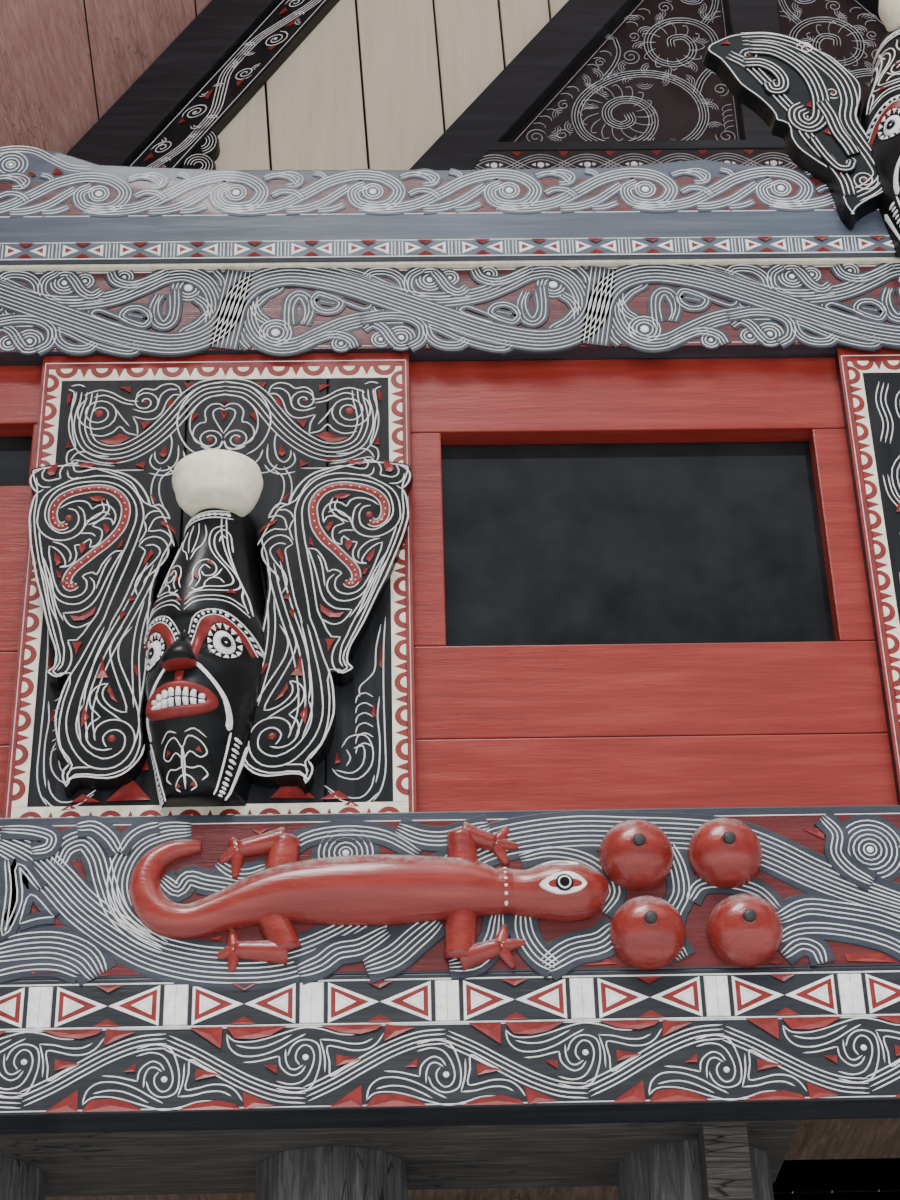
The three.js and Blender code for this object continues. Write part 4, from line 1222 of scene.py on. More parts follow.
WING_LINES = [
    [(-303, 675), (-289, 672), (-281, 659), (-280, 646), (-286, 629), (-300, 619), (-314, 617),
     (-330, 626), (-343, 643), (-348, 662), (-346, 682), (-339, 704), (-325, 721), (-305, 732),
     (-278, 739), (-244, 741), (-216, 736), (-194, 723), (-178, 704), (-168, 682), (-165, 657),
     (-168, 634), (-175, 609), (-182, 584), (-187, 571), (-194, 548), (-203, 521), (-211, 493),
     (-221, 459), (-230, 429), (-244, 404), (-266, 369), (-283, 368), (-278, 352), (-274, 333),
     (-276, 313), (-286, 294), (-300, 288), (-311, 294), (-317, 299), (-307, 308), (-303, 322),
     (-305, 347), (-314, 374), (-322, 397), (-330, 426), (-341, 468), (-353, 509), (-362, 551),
     (-371, 593), (-376, 632), (-378, 657), (-376, 682), (-372, 704), (-364, 718)],
    [(-283, 680), (-273, 671), (-268, 654), (-267, 637), (-272, 621), (-286, 607), (-305, 600),
     (-325, 601), (-341, 609), (-355, 623), (-362, 643), (-362, 659), (-360, 682), (-353, 704),
     (-339, 721), (-319, 734), (-297, 746), (-266, 752), (-244, 755), (-216, 751), (-194, 740),
     (-175, 721), (-161, 698), (-153, 673), (-151, 651), (-155, 626), (-162, 596), (-171, 565),
     (-180, 534), (-190, 504), (-200, 473), (-210, 440), (-218, 412), (-230, 388), (-244, 355),
     (-258, 322), (-272, 294), (-283, 266), (-291, 233), (-296, 199), (-291, 163), (-283, 133),
     (-272, 113), (-263, 99)],
    [(-289, 790), (-297, 784), (-298, 775), (-293, 766), (-278, 766), (-261, 771), (-241, 772),
     (-216, 766), (-191, 757), (-172, 743), (-155, 721), (-144, 698), (-137, 679), (-122, 683),
     (-110, 673), (-102, 658), (-98, 647)],
    [(-148, 646), (-144, 658), (-132, 667), (-115, 665)],
    [(-98, 648), (-116, 653), (-129, 647), (-135, 634), (-139, 619), (-116, 621), (-101, 612), (-92, 598),
     (-87, 582)],
    [(-151, 648), (-144, 621), (-157, 593)],
    [(-157, 584), (-148, 598), (-130, 606), (-114, 602), (-103, 590), (-98, 573), (-101, 557), (-111, 540),
     (-125, 523), (-139, 509), (-144, 496)],
    [(-144, 584), (-130, 587), (-118, 580), (-114, 569), (-121, 554), (-134, 537), (-148, 521),
     (-157, 504), (-160, 487), (-154, 468)],
    [(-157, 584), (-144, 573), (-148, 557), (-155, 534), (-165, 504), (-175, 473), (-186, 443),
     (-200, 412), (-205, 395)],
    [(-357, 623), (-354, 604), (-347, 565), (-336, 521), (-325, 482), (-318, 454), (-310, 423),
     (-300, 390), (-296, 372), (-290, 352), (-289, 333), (-291, 313), (-299, 301)],
    [(-189, 573), (-203, 572), (-216, 559), (-228, 540), (-237, 518), (-244, 523), (-255, 521),
     (-264, 514), (-256, 504), (-255, 486), (-264, 472), (-283, 466), (-300, 471), (-311, 484),
     (-322, 515), (-329, 548), (-334, 586), (-316, 576), (-303, 557), (-300, 540), (-310, 537),
     (-296, 538), (-283, 548), (-279, 568), (-284, 587), (-271, 589), (-255, 602), (-252, 593),
     (-254, 583), (-241, 587), (-233, 601), (-232, 621), (-239, 628), (-251, 633), (-241, 644),
     (-228, 651), (-215, 648), (-211, 636)],
    [(-210, 558), (-219, 543), (-228, 515), (-236, 484)],
    [(-250, 512), (-241, 501), (-240, 483), (-250, 465), (-266, 452), (-289, 451), (-308, 461),
     (-319, 479), (-329, 512)],
    [(-297, 430), (-283, 431), (-266, 433), (-253, 440), (-241, 451), (-230, 471), (-221, 496),
     (-210, 526), (-198, 554), (-189, 573)],
    [(-297, 430), (-291, 415), (-280, 401), (-266, 397), (-253, 402), (-244, 408)],
    [(-328, 596), (-311, 591), (-297, 579), (-290, 564), (-293, 548)],
    [(-276, 615), (-266, 634), (-255, 651), (-241, 662), (-228, 666), (-218, 659)],
    [(-319, 676), (-305, 687), (-289, 693), (-272, 693), (-261, 686), (-254, 674), (-244, 682),
     (-228, 684), (-214, 675), (-207, 659), (-208, 643), (-212, 634)],
    [(-275, 615), (-261, 616), (-250, 614), (-244, 608)],
    [(-358, 776), (-369, 769), (-380, 759), (-383, 746), (-378, 729), (-365, 716), (-355, 723)],
    [(-354, 775), (-360, 762), (-358, 750), (-347, 744), (-333, 747), (-323, 750), (-325, 762),
     (-319, 779), (-305, 786), (-289, 784)],
    [(-371, 752), (-369, 739), (-358, 729), (-341, 728)],
    [(-310, 768), (-307, 754), (-297, 748), (-286, 751)],
    [(-215, 397), (-228, 363), (-241, 327), (-255, 288), (-266, 249), (-274, 211), (-275, 183),
     (-268, 149), (-250, 116), (-228, 94), (-203, 87), (-178, 91), (-158, 108), (-146, 133), (-144, 155),
     (-151, 174), (-164, 186), (-183, 192), (-203, 188), (-216, 177), (-221, 161), (-218, 147)],
    [(-244, 227), (-252, 211), (-256, 183), (-250, 155), (-233, 127), (-203, 109), (-183, 113),
     (-166, 127), (-162, 147), (-166, 161), (-180, 170), (-194, 167), (-204, 155), (-201, 141),
     (-196, 134)],
    [(-203, 399), (-214, 369), (-228, 327), (-236, 288), (-243, 255), (-244, 227)],
    [(-263, 99), (-273, 86), (-274, 72), (-266, 52), (-261, 66), (-247, 72), (-228, 72), (-191, 68),
     (-166, 75), (-144, 94), (-130, 116), (-125, 138)],
    [(-265, 73), (-261, 86), (-250, 91), (-222, 90)],
    [(-180, 397), (-194, 372), (-201, 349), (-198, 324), (-189, 294), (-178, 263), (-168, 236),
     (-163, 208), (-183, 213), (-200, 227), (-210, 245), (-208, 261), (-201, 270), (-216, 268),
     (-230, 254), (-234, 236), (-229, 216), (-212, 198), (-228, 186), (-236, 166), (-234, 149),
     (-222, 133), (-203, 127), (-186, 130)],
    [(-161, 397), (-179, 372), (-185, 352), (-183, 324), (-172, 294), (-158, 261), (-144, 222),
     (-138, 194), (-138, 169), (-144, 136)],
    [(-222, 254), (-220, 238), (-210, 222), (-191, 206), (-172, 191)],
]
WING_CHIPS = [
    [(-347, 773), (-330, 786), (-330, 773), (-334, 757), (-344, 755), (-350, 762)],
    [(-289, 782), (-266, 786), (-253, 782), (-261, 776), (-283, 773)],
    [(-262, 701), (-244, 704), (-230, 698), (-230, 693), (-244, 690), (-255, 693)],
    [(-230, 637), (-223, 634), (-215, 623), (-223, 611), (-228, 623)],
    [(-273, 590), (-262, 591), (-261, 579), (-269, 565), (-275, 579)],
    [(-322, 571), (-312, 559), (-308, 546), (-316, 537), (-322, 554)],
    [(-318, 529), (-307, 521), (-305, 509), (-312, 512)],
    [(-283, 423), (-264, 423), (-244, 434), (-233, 443), (-237, 426), (-255, 412), (-275, 411)],
    [(-187, 601), (-190, 584), (-200, 576), (-194, 593)],
    [(-132, 575), (-127, 565), (-136, 551), (-146, 536), (-144, 551)],
    [(-116, 643), (-103, 637), (-89, 623), (-84, 609), (-100, 623), (-114, 633)],
    [(-141, 709), (-128, 696), (-128, 687), (-134, 693)],
    [(-168, 471), (-158, 457), (-171, 454)],
    [(-180, 434), (-175, 426), (-186, 409), (-186, 426)],
    [(-275, 363), (-255, 363), (-261, 349), (-265, 333), (-269, 349)],
    [(-214, 333), (-210, 305), (-201, 283), (-225, 281), (-218, 308)],
    [(-243, 222), (-237, 205), (-232, 197), (-241, 183), (-246, 174), (-247, 194)],
    [(-197, 266), (-189, 247), (-180, 227), (-194, 238), (-201, 255)],
    [(-155, 311), (-148, 308), (-143, 294), (-143, 280), (-150, 294)],
]
RAIL_WING_OUTLINE = [
    (-453, 603), (-447, 625), (-420, 644), (-390, 659), (-351, 666), (-303, 666), (-264, 657), (-229, 638),
    (-194, 612), (-164, 592), (-138, 559), (-112, 520), (-103, 494), (-107, 451), (-122, 402), (-103, 338),
    (-81, 285), (-64, 233), (-68, 190), (-99, 164), (-129, 146), (-155, 125), (-170, 101), (-188, 129),
    (-195, 160), (-203, 207), (-212, 233), (-247, 268), (-277, 303), (-290, 338), (-292, 372), (-316, 385),
    (-320, 407), (-347, 451), (-386, 494), (-407, 538), (-425, 572),
]
RAIL_WING_STREAMS = [
    ([(-365, 640), (-300, 640), (-240, 615), (-190, 570), (-150, 510), (-140, 450), (-150, 390), (-130, 330),
      (-105, 270), (-95, 225), (-120, 190), (-160, 165)], 4, 12),
    ([(-400, 590), (-360, 560), (-320, 500), (-285, 440), (-262, 400), (-250, 350), (-225, 300), (-200, 260),
      (-178, 210), (-172, 165)], 3, 11),
    ([(-352, 612), (-300, 606), (-258, 578), (-226, 536), (-208, 480), (-206, 430), (-216, 385), (-240, 368),
      (-262, 384), (-262, 412), (-244, 424)], 4, 11),
    ([(-206, 440), (-190, 400), (-178, 350), (-160, 310), (-150, 282)], 3, 11),
    ([(-368, 560), (-330, 560), (-300, 540), (-284, 506), (-290, 480), (-310, 478), (-318, 498)], 3, 10),
    ([(-236, 330), (-222, 296), (-204, 262), (-186, 240), (-164, 240), (-156, 258)], 2, 10),
]
RAIL_WING_COILS = [(-352, 590, 6, 22, 1.4, 40), (-300, 498, 5, 14, 1.1, 120), (-252, 398, 5, 16, 1.2, 60),
                   (-134, 210, 5, 30, 2.0, 10), (-176, 470, 4, 18, 1.3, 200), (-222, 610, 4, 20, 1.4, 30),
                   (-160, 262, 4, 14, 1.1, 30)]
WING_OVER = 1.6
RAIL_WING_CHIPS = [
    [(-418, 622), (-400, 634), (-392, 622)], [(-300, 620), (-262, 602), (-285, 606)],
    [(-300, 520), (-282, 540), (-278, 512)], [(-240, 430), (-226, 446), (-222, 420)],
    [(-210, 350), (-196, 366), (-194, 340)], [(-196, 230), (-182, 240), (-184, 214)],
]


def lean(v):
    return WING_LEAN * max(0.0, WING_LEAN_BELOW - v)


def mask_place(middle, face_y, foot, side):
    """Turns a mask's own x, forward distance and height into a point of the house."""
    return lambda x, out, z: (middle + side * x, face_y - out, foot + z)


def section_at(z):
    """The head's half width and reach at a height, softly between its sections."""
    z = min(max(z, HEAD_SECTIONS[0][0]), HEAD_SECTIONS[-1][0])
    index = next(k for k, above in enumerate(HEAD_SECTIONS[1:]) if z <= above[0])
    low, high = HEAD_SECTIONS[index], HEAD_SECTIONS[index + 1]
    before = HEAD_SECTIONS[max(index - 1, 0)]
    after = HEAD_SECTIONS[min(index + 2, len(HEAD_SECTIONS) - 1)]
    run = high[0] - low[0]
    t = (z - low[0]) / run
    out = []
    for k in (1, 2):
        tangent_low = (high[k] - before[k]) / max(high[0] - before[0], 1) * run
        tangent_high = (after[k] - low[k]) / max(after[0] - low[0], 1) * run
        out.append((2 * t ** 3 - 3 * t ** 2 + 1) * low[k] + (t ** 3 - 2 * t ** 2 + t) * tangent_low
                   + (3 * t ** 2 - 2 * t ** 3) * high[k] + (t ** 3 - t ** 2) * tangent_high)
    return out


FACE_FORMS = [
    # across, up, width, height, how far it swells out: muzzle, chin, cheeks, eye hollows, brow, forehead
    (0, 170, 60, 44, 15), (0, 40, 46, 34, 5), (-66, 232, 26, 30, 5), (66, 232, 26, 30, 5),
    (-76, 296, 34, 32, -13), (76, 296, 34, 32, -13), (0, 352, 60, 14, 7), (0, 450, 40, 60, 5),
]


def skin_across(angle, z):
    """How far to the side of the head's middle its skin lies, at an angle round it."""
    half, _ = section_at(z)
    edge = 0.35 * math.sin(angle) ** 3
    return -half * math.cos(angle) * (1 - 0.25 * edge) + HEAD_LEAN * max(0.0, z - HEAD_LEAN_ABOVE)


def skin_point(angle, z):
    """The sideways place of the head's skin, and how far it stands out."""
    _, reach = section_at(z)
    x = skin_across(angle, z)
    out = reach * max(math.sin(angle), 0.0) ** 0.8 - HEAD_BACK
    for u, v, wide, high, swell in FACE_FORMS:
        out += swell * math.exp(-((x - u) / wide) ** 2 - ((z - v) / high) ** 2) * math.sin(angle)
    return x, out


def angle_at(u, z):
    """The angle round a head at which it is u to the side of its middle."""
    low, high = 0.06, math.pi - 0.06
    for _ in range(14):
        middle = (low + high) / 2
        if skin_across(middle, z) < u:
            low = middle
        else:
            high = middle
    return (low + high) / 2


def head_turned(x, out, turn, across):
    return x * math.cos(turn) - out * math.sin(turn) + across, x * math.sin(turn) + out * math.cos(turn)


def head_place(mask, turn, across):
    """Turns a place on the head's skin, and a height above it, into a point of the house."""
    def place(u, v, lift):
        angle = angle_at(u, v)
        x, out = skin_point(angle, v)
        near_x, near_out = skin_point(angle + 0.02, v)
        up_x, up_out = skin_point(angle, v + 2)
        along = Vector((near_x - x, near_out - out, 0))
        upward = Vector((up_x - x, up_out - out, 2))
        normal = along.cross(upward)
        if normal.y < 0:
            normal = -normal
        normal.normalize()
        x += normal.x * lift
        out += normal.y * lift
        turned_x, turned_out = head_turned(x, out, turn, across)
        return mask(turned_x, turned_out, v + normal.z * lift)
    return place


def head_mesh(carving, turn, across, mask):
    """The skin of a head as a closed form against the panel."""
    low, high = HEAD_SECTIONS[0][0], HEAD_SECTIONS[-1][0]
    points = []
    for row in range(HEAD_ROWS + 1):
        z = low + (high - low) * row / HEAD_ROWS
        for column in range(HEAD_COLUMNS + 1):
            x, out = skin_point(math.pi * column / HEAD_COLUMNS, z)
            turned_x, turned_out = head_turned(x, max(out, -HEAD_BACK + 1), turn, across)
            points.append((turned_x, max(turned_out, -3.0), z))
    carving.add(points, ring_faces(HEAD_ROWS + 1, HEAD_COLUMNS + 1), BLACK_INK, mask)


def cap_mesh(carving, turn, across, mask):
    """A wrapped cap, round in plan, wider at its top than where it sits on the head."""
    profile = smooth([(half, z) for z, half in CAP_SECTIONS], 4)
    points = []
    for half, z in profile:
        for side in range(CAP_SIDES):
            angle = math.tau * side / CAP_SIDES
            fold = 1 + 0.035 * noise.noise(Vector((math.cos(angle) * 2.0, math.sin(angle) * 2.0, z * 0.045)))
            x = CAP_X + half * fold * math.cos(angle)
            out = CAP_OUT + half * fold * math.sin(angle)
            turned_x, turned_out = head_turned(x, out, turn, across)
            points.append((turned_x, max(turned_out, 0.0), z))
    carving.add(points, ring_faces(len(profile), CAP_SIDES, True), TURBAN, mask)


NOSE_SECTIONS = [
    # height, half width, how far it stands off the face
    (243, 22, 2), (247, 29, 18), (252, 32, 28), (259, 31, 32), (272, 25, 30), (292, 18, 22), (314, 12, 12),
    (336, 8, 4),
]
EYES = [(-68, 314), (68, 314)]
EYE_SQUASH = 0.70
EYE_SPOKES = 14
MOUTH = (0.0, 173.0)
MOUTH_HALF = 52
TEETH = 8
TOOTH_STEP = 12.4
LIP = 8.5


def carve_nose(face):
    sides = 10
    points = []
    for z, half, out in NOSE_SECTIONS:
        for k in range(sides + 1):
            angle = math.pi * k / sides
            points.append((-half * math.cos(angle), z, -3 + (out + 3) * math.sin(angle) ** 0.7))
    width = sides + 1
    last = len(NOSE_SECTIONS) - 1
    red = []
    black = []
    for row in range(last):
        for k in range(sides):
            a = row * width + k
            (red if row < 2 else black).append((a, a + 1, a + width + 1, a + width))
    red.append(tuple(range(width))[::-1])
    face.add(points, red, RED_CUT)
    face.add(points, black, BLACK_INK)


def carve_eye(face, u, v):
    squash = EYE_SQUASH
    face.field(ellipse(u, v, 41 * squash, 41), 3.0, BLACK_INK, bevel=2)
    for k in range(EYE_SPOKES):
        angle = math.tau * k / EYE_SPOKES
        rim = []
        for radius, turn in ((27, 0.0), (38, 0.18), (38, -0.18)):
            rim.append((u + squash * radius * math.cos(angle + turn), v + radius * math.sin(angle + turn)))
        face.field(rim, 2.4, WHITE, 3.0, 0.8)
    face.field(ellipse(u, v, 25 * squash, 25), 8.0, WHITE, 2.0, 4)
    face.field(ellipse(u, v, 17 * squash, 17, 18), 2.0, GREY_AND_SHADED_WHITE, 9.0, 1.5)
    face.field(ellipse(u, v, 13 * squash, 13, 16), 2.0, BLACK_INK, 10.0, 1.5)
    face.dot(u, v, 2.6, 1.6, WHITE, 12.0, 8)


def carve_brow(face, side):
    """A red brow that runs down beside the nose, edged with a black strip of white dots."""
    outer = smooth([(side * 14, 262), (side * 20, 320), (side * 36, 352), (side * 66, 364), (side * 96, 346),
                    (side * 112, 312)], 4)
    inner = smooth([(side * 32, 262), (side * 36, 312), (side * 52, 336), (side * 74, 342), (side * 96, 326),
                    (side * 108, 304)], 4)
    face.field(outer + inner[::-1], 4.5, RED_CUT, bevel=2)
    edge = shifted(outer, 7 * side)
    face.stroke(edge, 14, 2.0, BLACK_INK, 0.0, False)
    for line in (shifted(outer, 1.5 * side), shifted(outer, 13 * side)):
        face.stroke(line, 2.6, 2.2, WHITE, 1.0)
    for index in range(2, len(edge) - 1):
        face.dot(*edge[index], 3.6 if index % 2 else 2.6, 2.0, WHITE, 1.8, 8)


def carve_mouth(face):
    u, v = MOUTH
    face.field(ellipse(u, v, MOUTH_HALF, 21, 28), 4.0, BLACK_INK, bevel=2)
    for row in (1, -1):
        for k in range(TEETH):
            middle = u + (k - (TEETH - 1) / 2) * TOOTH_STEP
            part = abs(middle - u) / MOUTH_HALF
            high = 17.0 * math.sqrt(max(1 - part ** 2, 0.15))
            low_v = v + row * 1.6
            tall = v + row * high
            outline = [(middle - 4.9, low_v), (middle + 4.9, low_v), (middle + 4.3, tall),
                       (middle - 4.3, tall)]
            face.field(outline, 7.0, WHITE, 2.5, 2.0)
    ring_sides = 36
    tube = 8
    points = []
    for k in range(ring_sides):
        angle = math.tau * k / ring_sides
        for j in range(tube):
            turn = math.tau * j / tube
            grow = LIP * math.cos(turn)
            points.append((u + (57 + grow) * math.cos(angle), v + (24 + grow) * math.sin(angle),
                           5 + LIP * math.sin(turn)))
    faces = []
    for k in range(ring_sides):
        after = (k + 1) % ring_sides
        for j in range(tube):
            next_j = (j + 1) % tube
            faces.append((k * tube + j, after * tube + j, after * tube + next_j, k * tube + next_j))
    face.add(points, faces, RED_CUT)


FACE_LINES = [[(30, 256), (46, 238), (64, 214), (76, 190), (80, 160), (76, 136)]]
FOREHEAD_LINES = [
    [(4, 396), (16, 412), (40, 422), (66, 430), (84, 444), (88, 462), (78, 484), (60, 506), (48, 526),
     (42, 550), (44, 574), (54, 588), (64, 580), (68, 560), (72, 536)],
    [(10, 410), (38, 431), (62, 439), (76, 452), (78, 466), (68, 486), (50, 508), (38, 530), (33, 556),
     (37, 584), (54, 600)],
    [(8, 428), (14, 446), (12, 466), (18, 488), (34, 500), (48, 492), (52, 476), (46, 462), (34, 458),
     (28, 468)],
    [(20, 428), (27, 448), (24, 468), (32, 486), (42, 478)], [(14, 424), (24, 420), (34, 428), (36, 444)],
    [(36, 440), (44, 454), (58, 458), (66, 450)], [(40, 448), (54, 466), (60, 484)],
    [(50, 552), (53, 572), (60, 566)], [(3, 500), (10, 524), (22, 540), (26, 570), (20, 596)],
    [(3, 520), (8, 546), (10, 576), (6, 604)],
    [(4, 384), (18, 399), (46, 409), (76, 415), (98, 405)],
    [(4, 372), (20, 389), (48, 399), (80, 403), (106, 388)],
    [(108, 398), (99, 436), (86, 470), (74, 506), (64, 546), (58, 590), (55, 622)],
    [(103, 396), (92, 432), (92, 452), (82, 480), (68, 512), (57, 548), (50, 590), (48, 622)],
]
CHIN_LINES = [
    [(0, 20), (2, 60), (0, 96), (-4, 60)],
    [(0, 90), (-14, 112), (-34, 104), (-42, 86), (-30, 76), (-14, 86), (0, 70)],
    [(0, 60), (-16, 56), (-30, 60), (-40, 48), (-30, 36)], [(0, 46), (-12, 40), (-20, 26), (-10, 16)],
    [(-8, 118), (-26, 124), (-44, 112)],
]
FACE_CHIPS = [[(-30, 96), (-22, 88), (-34, 84)], [(-14, 34), (-8, 26), (-20, 24)],
              [(40, 500), (34, 490), (46, 484)], [(14, 452), (24, 446), (20, 468)],
              [(70, 424), (84, 432), (76, 440)], [(4, 404), (16, 398), (4, 392)]]


def carve_face(face):
    carve_nose(face)
    carve_mouth(face)
    for u, v in EYES:
        carve_eye(face, u, v)
    for side in (-1, 1):
        carve_brow(face, side)
        for line in FACE_LINES:
            face.stroke(smooth([(side * u, v) for u, v in line], 4), 8.5, 3.0)
        for line in FOREHEAD_LINES:
            face.stroke(smooth([(side * u, v) for u, v in line], 3), 3.0, 1.6)
        for line in CHIN_LINES:
            face.stroke(smooth([(side * u, v) for u, v in line], 3), 3.0, 1.6)
        for chip in FACE_CHIPS:
            face.hollow([(side * u, v) for u, v in chip], 1.8, 2.2)
        jaw = smooth([(side * 86, 132), (side * 76, 90), (side * 64, 44), (side * 54, 10)], 8)
        face.stroke(jaw, 17, 2.0, BLACK_INK, 0.0, False)
        for off in (-8, 8):
            face.stroke(shifted(jaw, off), 2.6, 2.2, WHITE, 1.0)
        for index in range(1, len(jaw) - 1, 2):
            face.dot(*jaw[index], 4.0 if index % 4 == 1 else 3.0, 2.0, WHITE, 1.8, 8)
    face.field([(-9, 240), (9, 240), (7, 206), (-7, 206)], 2.0, RED_CUT, bevel=1)


RING_AT = 628
RING_HALF = 62


def carve_ring(face):
    """A black strip of white beads round the head under the cap."""
    band = [(-RING_HALF + 2 * RING_HALF * k / 24, RING_AT - 9 * (1 - (abs(k - 12) / 12) ** 2))
            for k in range(25)]
    face.stroke(band, 22, 5.0, BLACK_INK, 0.0, False)
    for off in (-8, 8):
        face.stroke(shifted(band, off), 2.8, 2.0, WHITE, 3.0)
    for index in range(1, 24):
        face.dot(*band[index], 4.2 if index % 2 else 2.6, 2.4, WHITE, 4.0, 8)


WING_DOTS = [(-300, 653), (-300, 499), (-187, 152)]
WING_STREAMS = [
    ([(-126, 540), (-146, 484), (-172, 421), (-206, 345), (-230, 268), (-240, 205), (-232, 150)], 3, 13),
    ([(-134, 455), (-147, 392), (-151, 330), (-147, 270), (-143, 218)], 2, 13),
    ([(-262, 640), (-240, 652), (-226, 672), (-232, 694)], 2, 10),
    ([(-350, 560), (-330, 505), (-318, 450), (-300, 410)], 2, 11),
]


def wing_body(wing, corners, rim):
    """The thick black body of a wing, with a white line inside its rim."""
    outline = smooth(corners, 3, True)
    wing.field(outline, WING_THICK, BLACK_INK, 0.0, 6)
    edge = inset(outline if area_of(outline) > 0 else outline[::-1], rim)
    wing.stroke(edge + edge[:1], 3.8, 1.6, WHITE, WING_THICK, False)


def carve_wing(wing):
    wing_body(wing, WING_OUTLINE, 11)
    for line in WING_LINES:
        wing.stroke(smooth(line, 2), 3.8, 1.6, WHITE, WING_THICK)
    for guide, count, gap in WING_STREAMS:
        middle = smooth(guide, 4)
        for off in spread(count, gap):
            wing.stroke(shifted(middle, off), 3.6, 1.6, WHITE, WING_THICK)
    for chip in WING_CHIPS:
        wing.hollow(chip, 2.4, 2.6, RED_CUT, WING_THICK)
    red_line = smooth(WING_RED_LINE, 3)
    wing.stroke(red_line, 17, 1.6, RED_CUT, WING_THICK, False)
    for off in (-8.5, 8.5):
        wing.stroke(shifted(red_line, off), 3.2, 2.0, WHITE, WING_THICK)
    for u, v in red_line[::2]:
        wing.dot(u, v, 1.9, 1.6, WHITE, WING_THICK + 1.4, 6)
    for u, v in WING_DOTS:
        wing.dot(u, v, 8, 3.0, RED_CUT, WING_THICK)


def carve_rail_wing(wing):
    wing_body(wing, RAIL_WING_OUTLINE, 10)
    for index, (guide, count, gap) in enumerate(RAIL_WING_STREAMS):
        middle = smooth(guide, 4)
        over = WING_OVER * index
        if index:
            wing.strap(middle, count * gap + 2, over, BLACK_INK, WING_THICK)
        for off in spread(count, gap):
            wing.stroke(shifted(middle, off), 4.0, 1.6, WHITE, WING_THICK + over)
    for u, v, start, end, turns, first in RAIL_WING_COILS:
        wing.stroke(spiral(u, v, start, end, turns, first, 14), 3.6, 1.6, WHITE, WING_THICK)
        wing.dot(u, v, 5, 2.4, RED_CUT, WING_THICK)
    for chip in RAIL_WING_CHIPS:
        wing.hollow(chip, 2.4, 2.6, RED_CUT, WING_THICK)


def make_mask(name, middle, face_y, foot, side, node, rail=False):
    turn = 0.0 if rail else HEAD_TURN
    across = 0.0 if rail else HEAD_X
    mask = mask_place(middle, face_y, foot, side)
    carve = carve_rail_wing if rail else carve_wing
    left = Carving(lambda u, v, lift: mask(u, lift, v), side < 0)
    carve(left)
    right_lean = (lambda v: 0.0) if rail else lean
    right = Carving(lambda u, v, lift: mask(-u - right_lean(v), lift, v), side > 0)
    carve(right)
    head = Carving(head_place(mask, turn, across), side < 0)
    head_mesh(head, turn, across, mask)
    cap_mesh(head, turn, across, mask)
    carve_face(head)
    carve_ring(head)
    parts = [left.piece(f"{name}_left_wing"), right.piece(f"{name}_right_wing"),
             head.piece(f"{name}_head", True)]
    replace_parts(parts[2], node)
    return parts


# The carved panels of the front wall: three boards each, a scalloped frame and a field of scrolls

PANEL_BACK = -4000.5
PANEL_HALF = 387.0
PANEL_LOW = 2600.5
PANEL_HIGH = 3699.5
PANEL_SEAMS = (-78.0, 215.0)
FIELD_HALF = 342.0
FIELD_LOW = 2636.0
FIELD_HIGH = 3632.0
CREAM_OUT = 29.0
SCALLOP_STEP = 72.0
MEDALLION = (0.0, 3530.0)


def plank(work, x0, x1, y0, y1, z0, z1, bevel):
    """Adds one bevelled board to a mesh in the making."""
    made = bmesh.ops.create_cube(work, size=1.0)
    size = Vector((x1 - x0, y1 - y0, z1 - z0)) * MM
    middle = Vector((x0 + x1, y0 + y1, z0 + z1)) * (MM / 2)
    for vert in made["verts"]:
        vert.co = Vector((vert.co.x * size.x, vert.co.y * size.y, vert.co.z * size.z)) + middle
    edges = list({edge for vert in made["verts"] for edge in vert.link_edges})
    bmesh.ops.bevel(work, geom=edges, offset=bevel * MM, segments=2, profile=0.6, affect="EDGES",
                    clamp_overlap=True)


def planks_piece(name, boards, material, bevel=2.5):
    work = bmesh.new()
    for board in boards:
        plank(work, *board, bevel)
    mesh = bpy.data.meshes.new(name)
    work.to_mesh(mesh)
    work.free()
    return new_piece(name, mesh, material)


def panel_boards(name, middle, half, seams, node, side=1):
    cuts = [-half] + [side * seam for seam in seams][::side] + [half]
    boards = [(middle + low + 1.2, middle + high - 1.2, PANEL_FACE, PANEL_BACK, PANEL_LOW, PANEL_HIGH)
              for low, high in zip(cuts, cuts[1:])]
    boards.append((middle - half + 4, middle + half - 4, -4010, PANEL_BACK, PANEL_LOW + 2, PANEL_HIGH - 2))
    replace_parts(planks_piece(name, boards, BLACK_Z), node)


def scallop_row(carving, start, end, count):
    """Half rings and spikes along one side of the frame, from start to end, standing in to the left."""
    start, end = Vector(start), Vector(end)
    along = (end - start).normalized()
    inward = Vector((-along.y, along.x))
    step = (end - start).length / count

    def at(s, t):
        point = start + along * s + inward * t
        return point.x, point.y

    for index in range(count):
        middle = (index + 0.5) * step
        outer = [at(middle - 24 * math.cos(math.pi * k / 10),
                    24 * math.sin(math.pi * k / 10)) for k in range(11)]
        inner = [at(middle - 13 * math.cos(math.pi * k / 8),
                    13 * math.sin(math.pi * k / 8)) for k in range(9)]
        carving.field(outer, 1.8, RED_CUT, 1.0, 0.6)
        carving.field(inner, 2.0, CREAM, 1.6, 0.6)
        if index + 1 < count:
            seam = (index + 1) * step
            carving.field([at(seam - 9, 0), at(seam + 9, 0), at(seam, 23)], 1.8, RED_CUT, 1.0, 0.6)


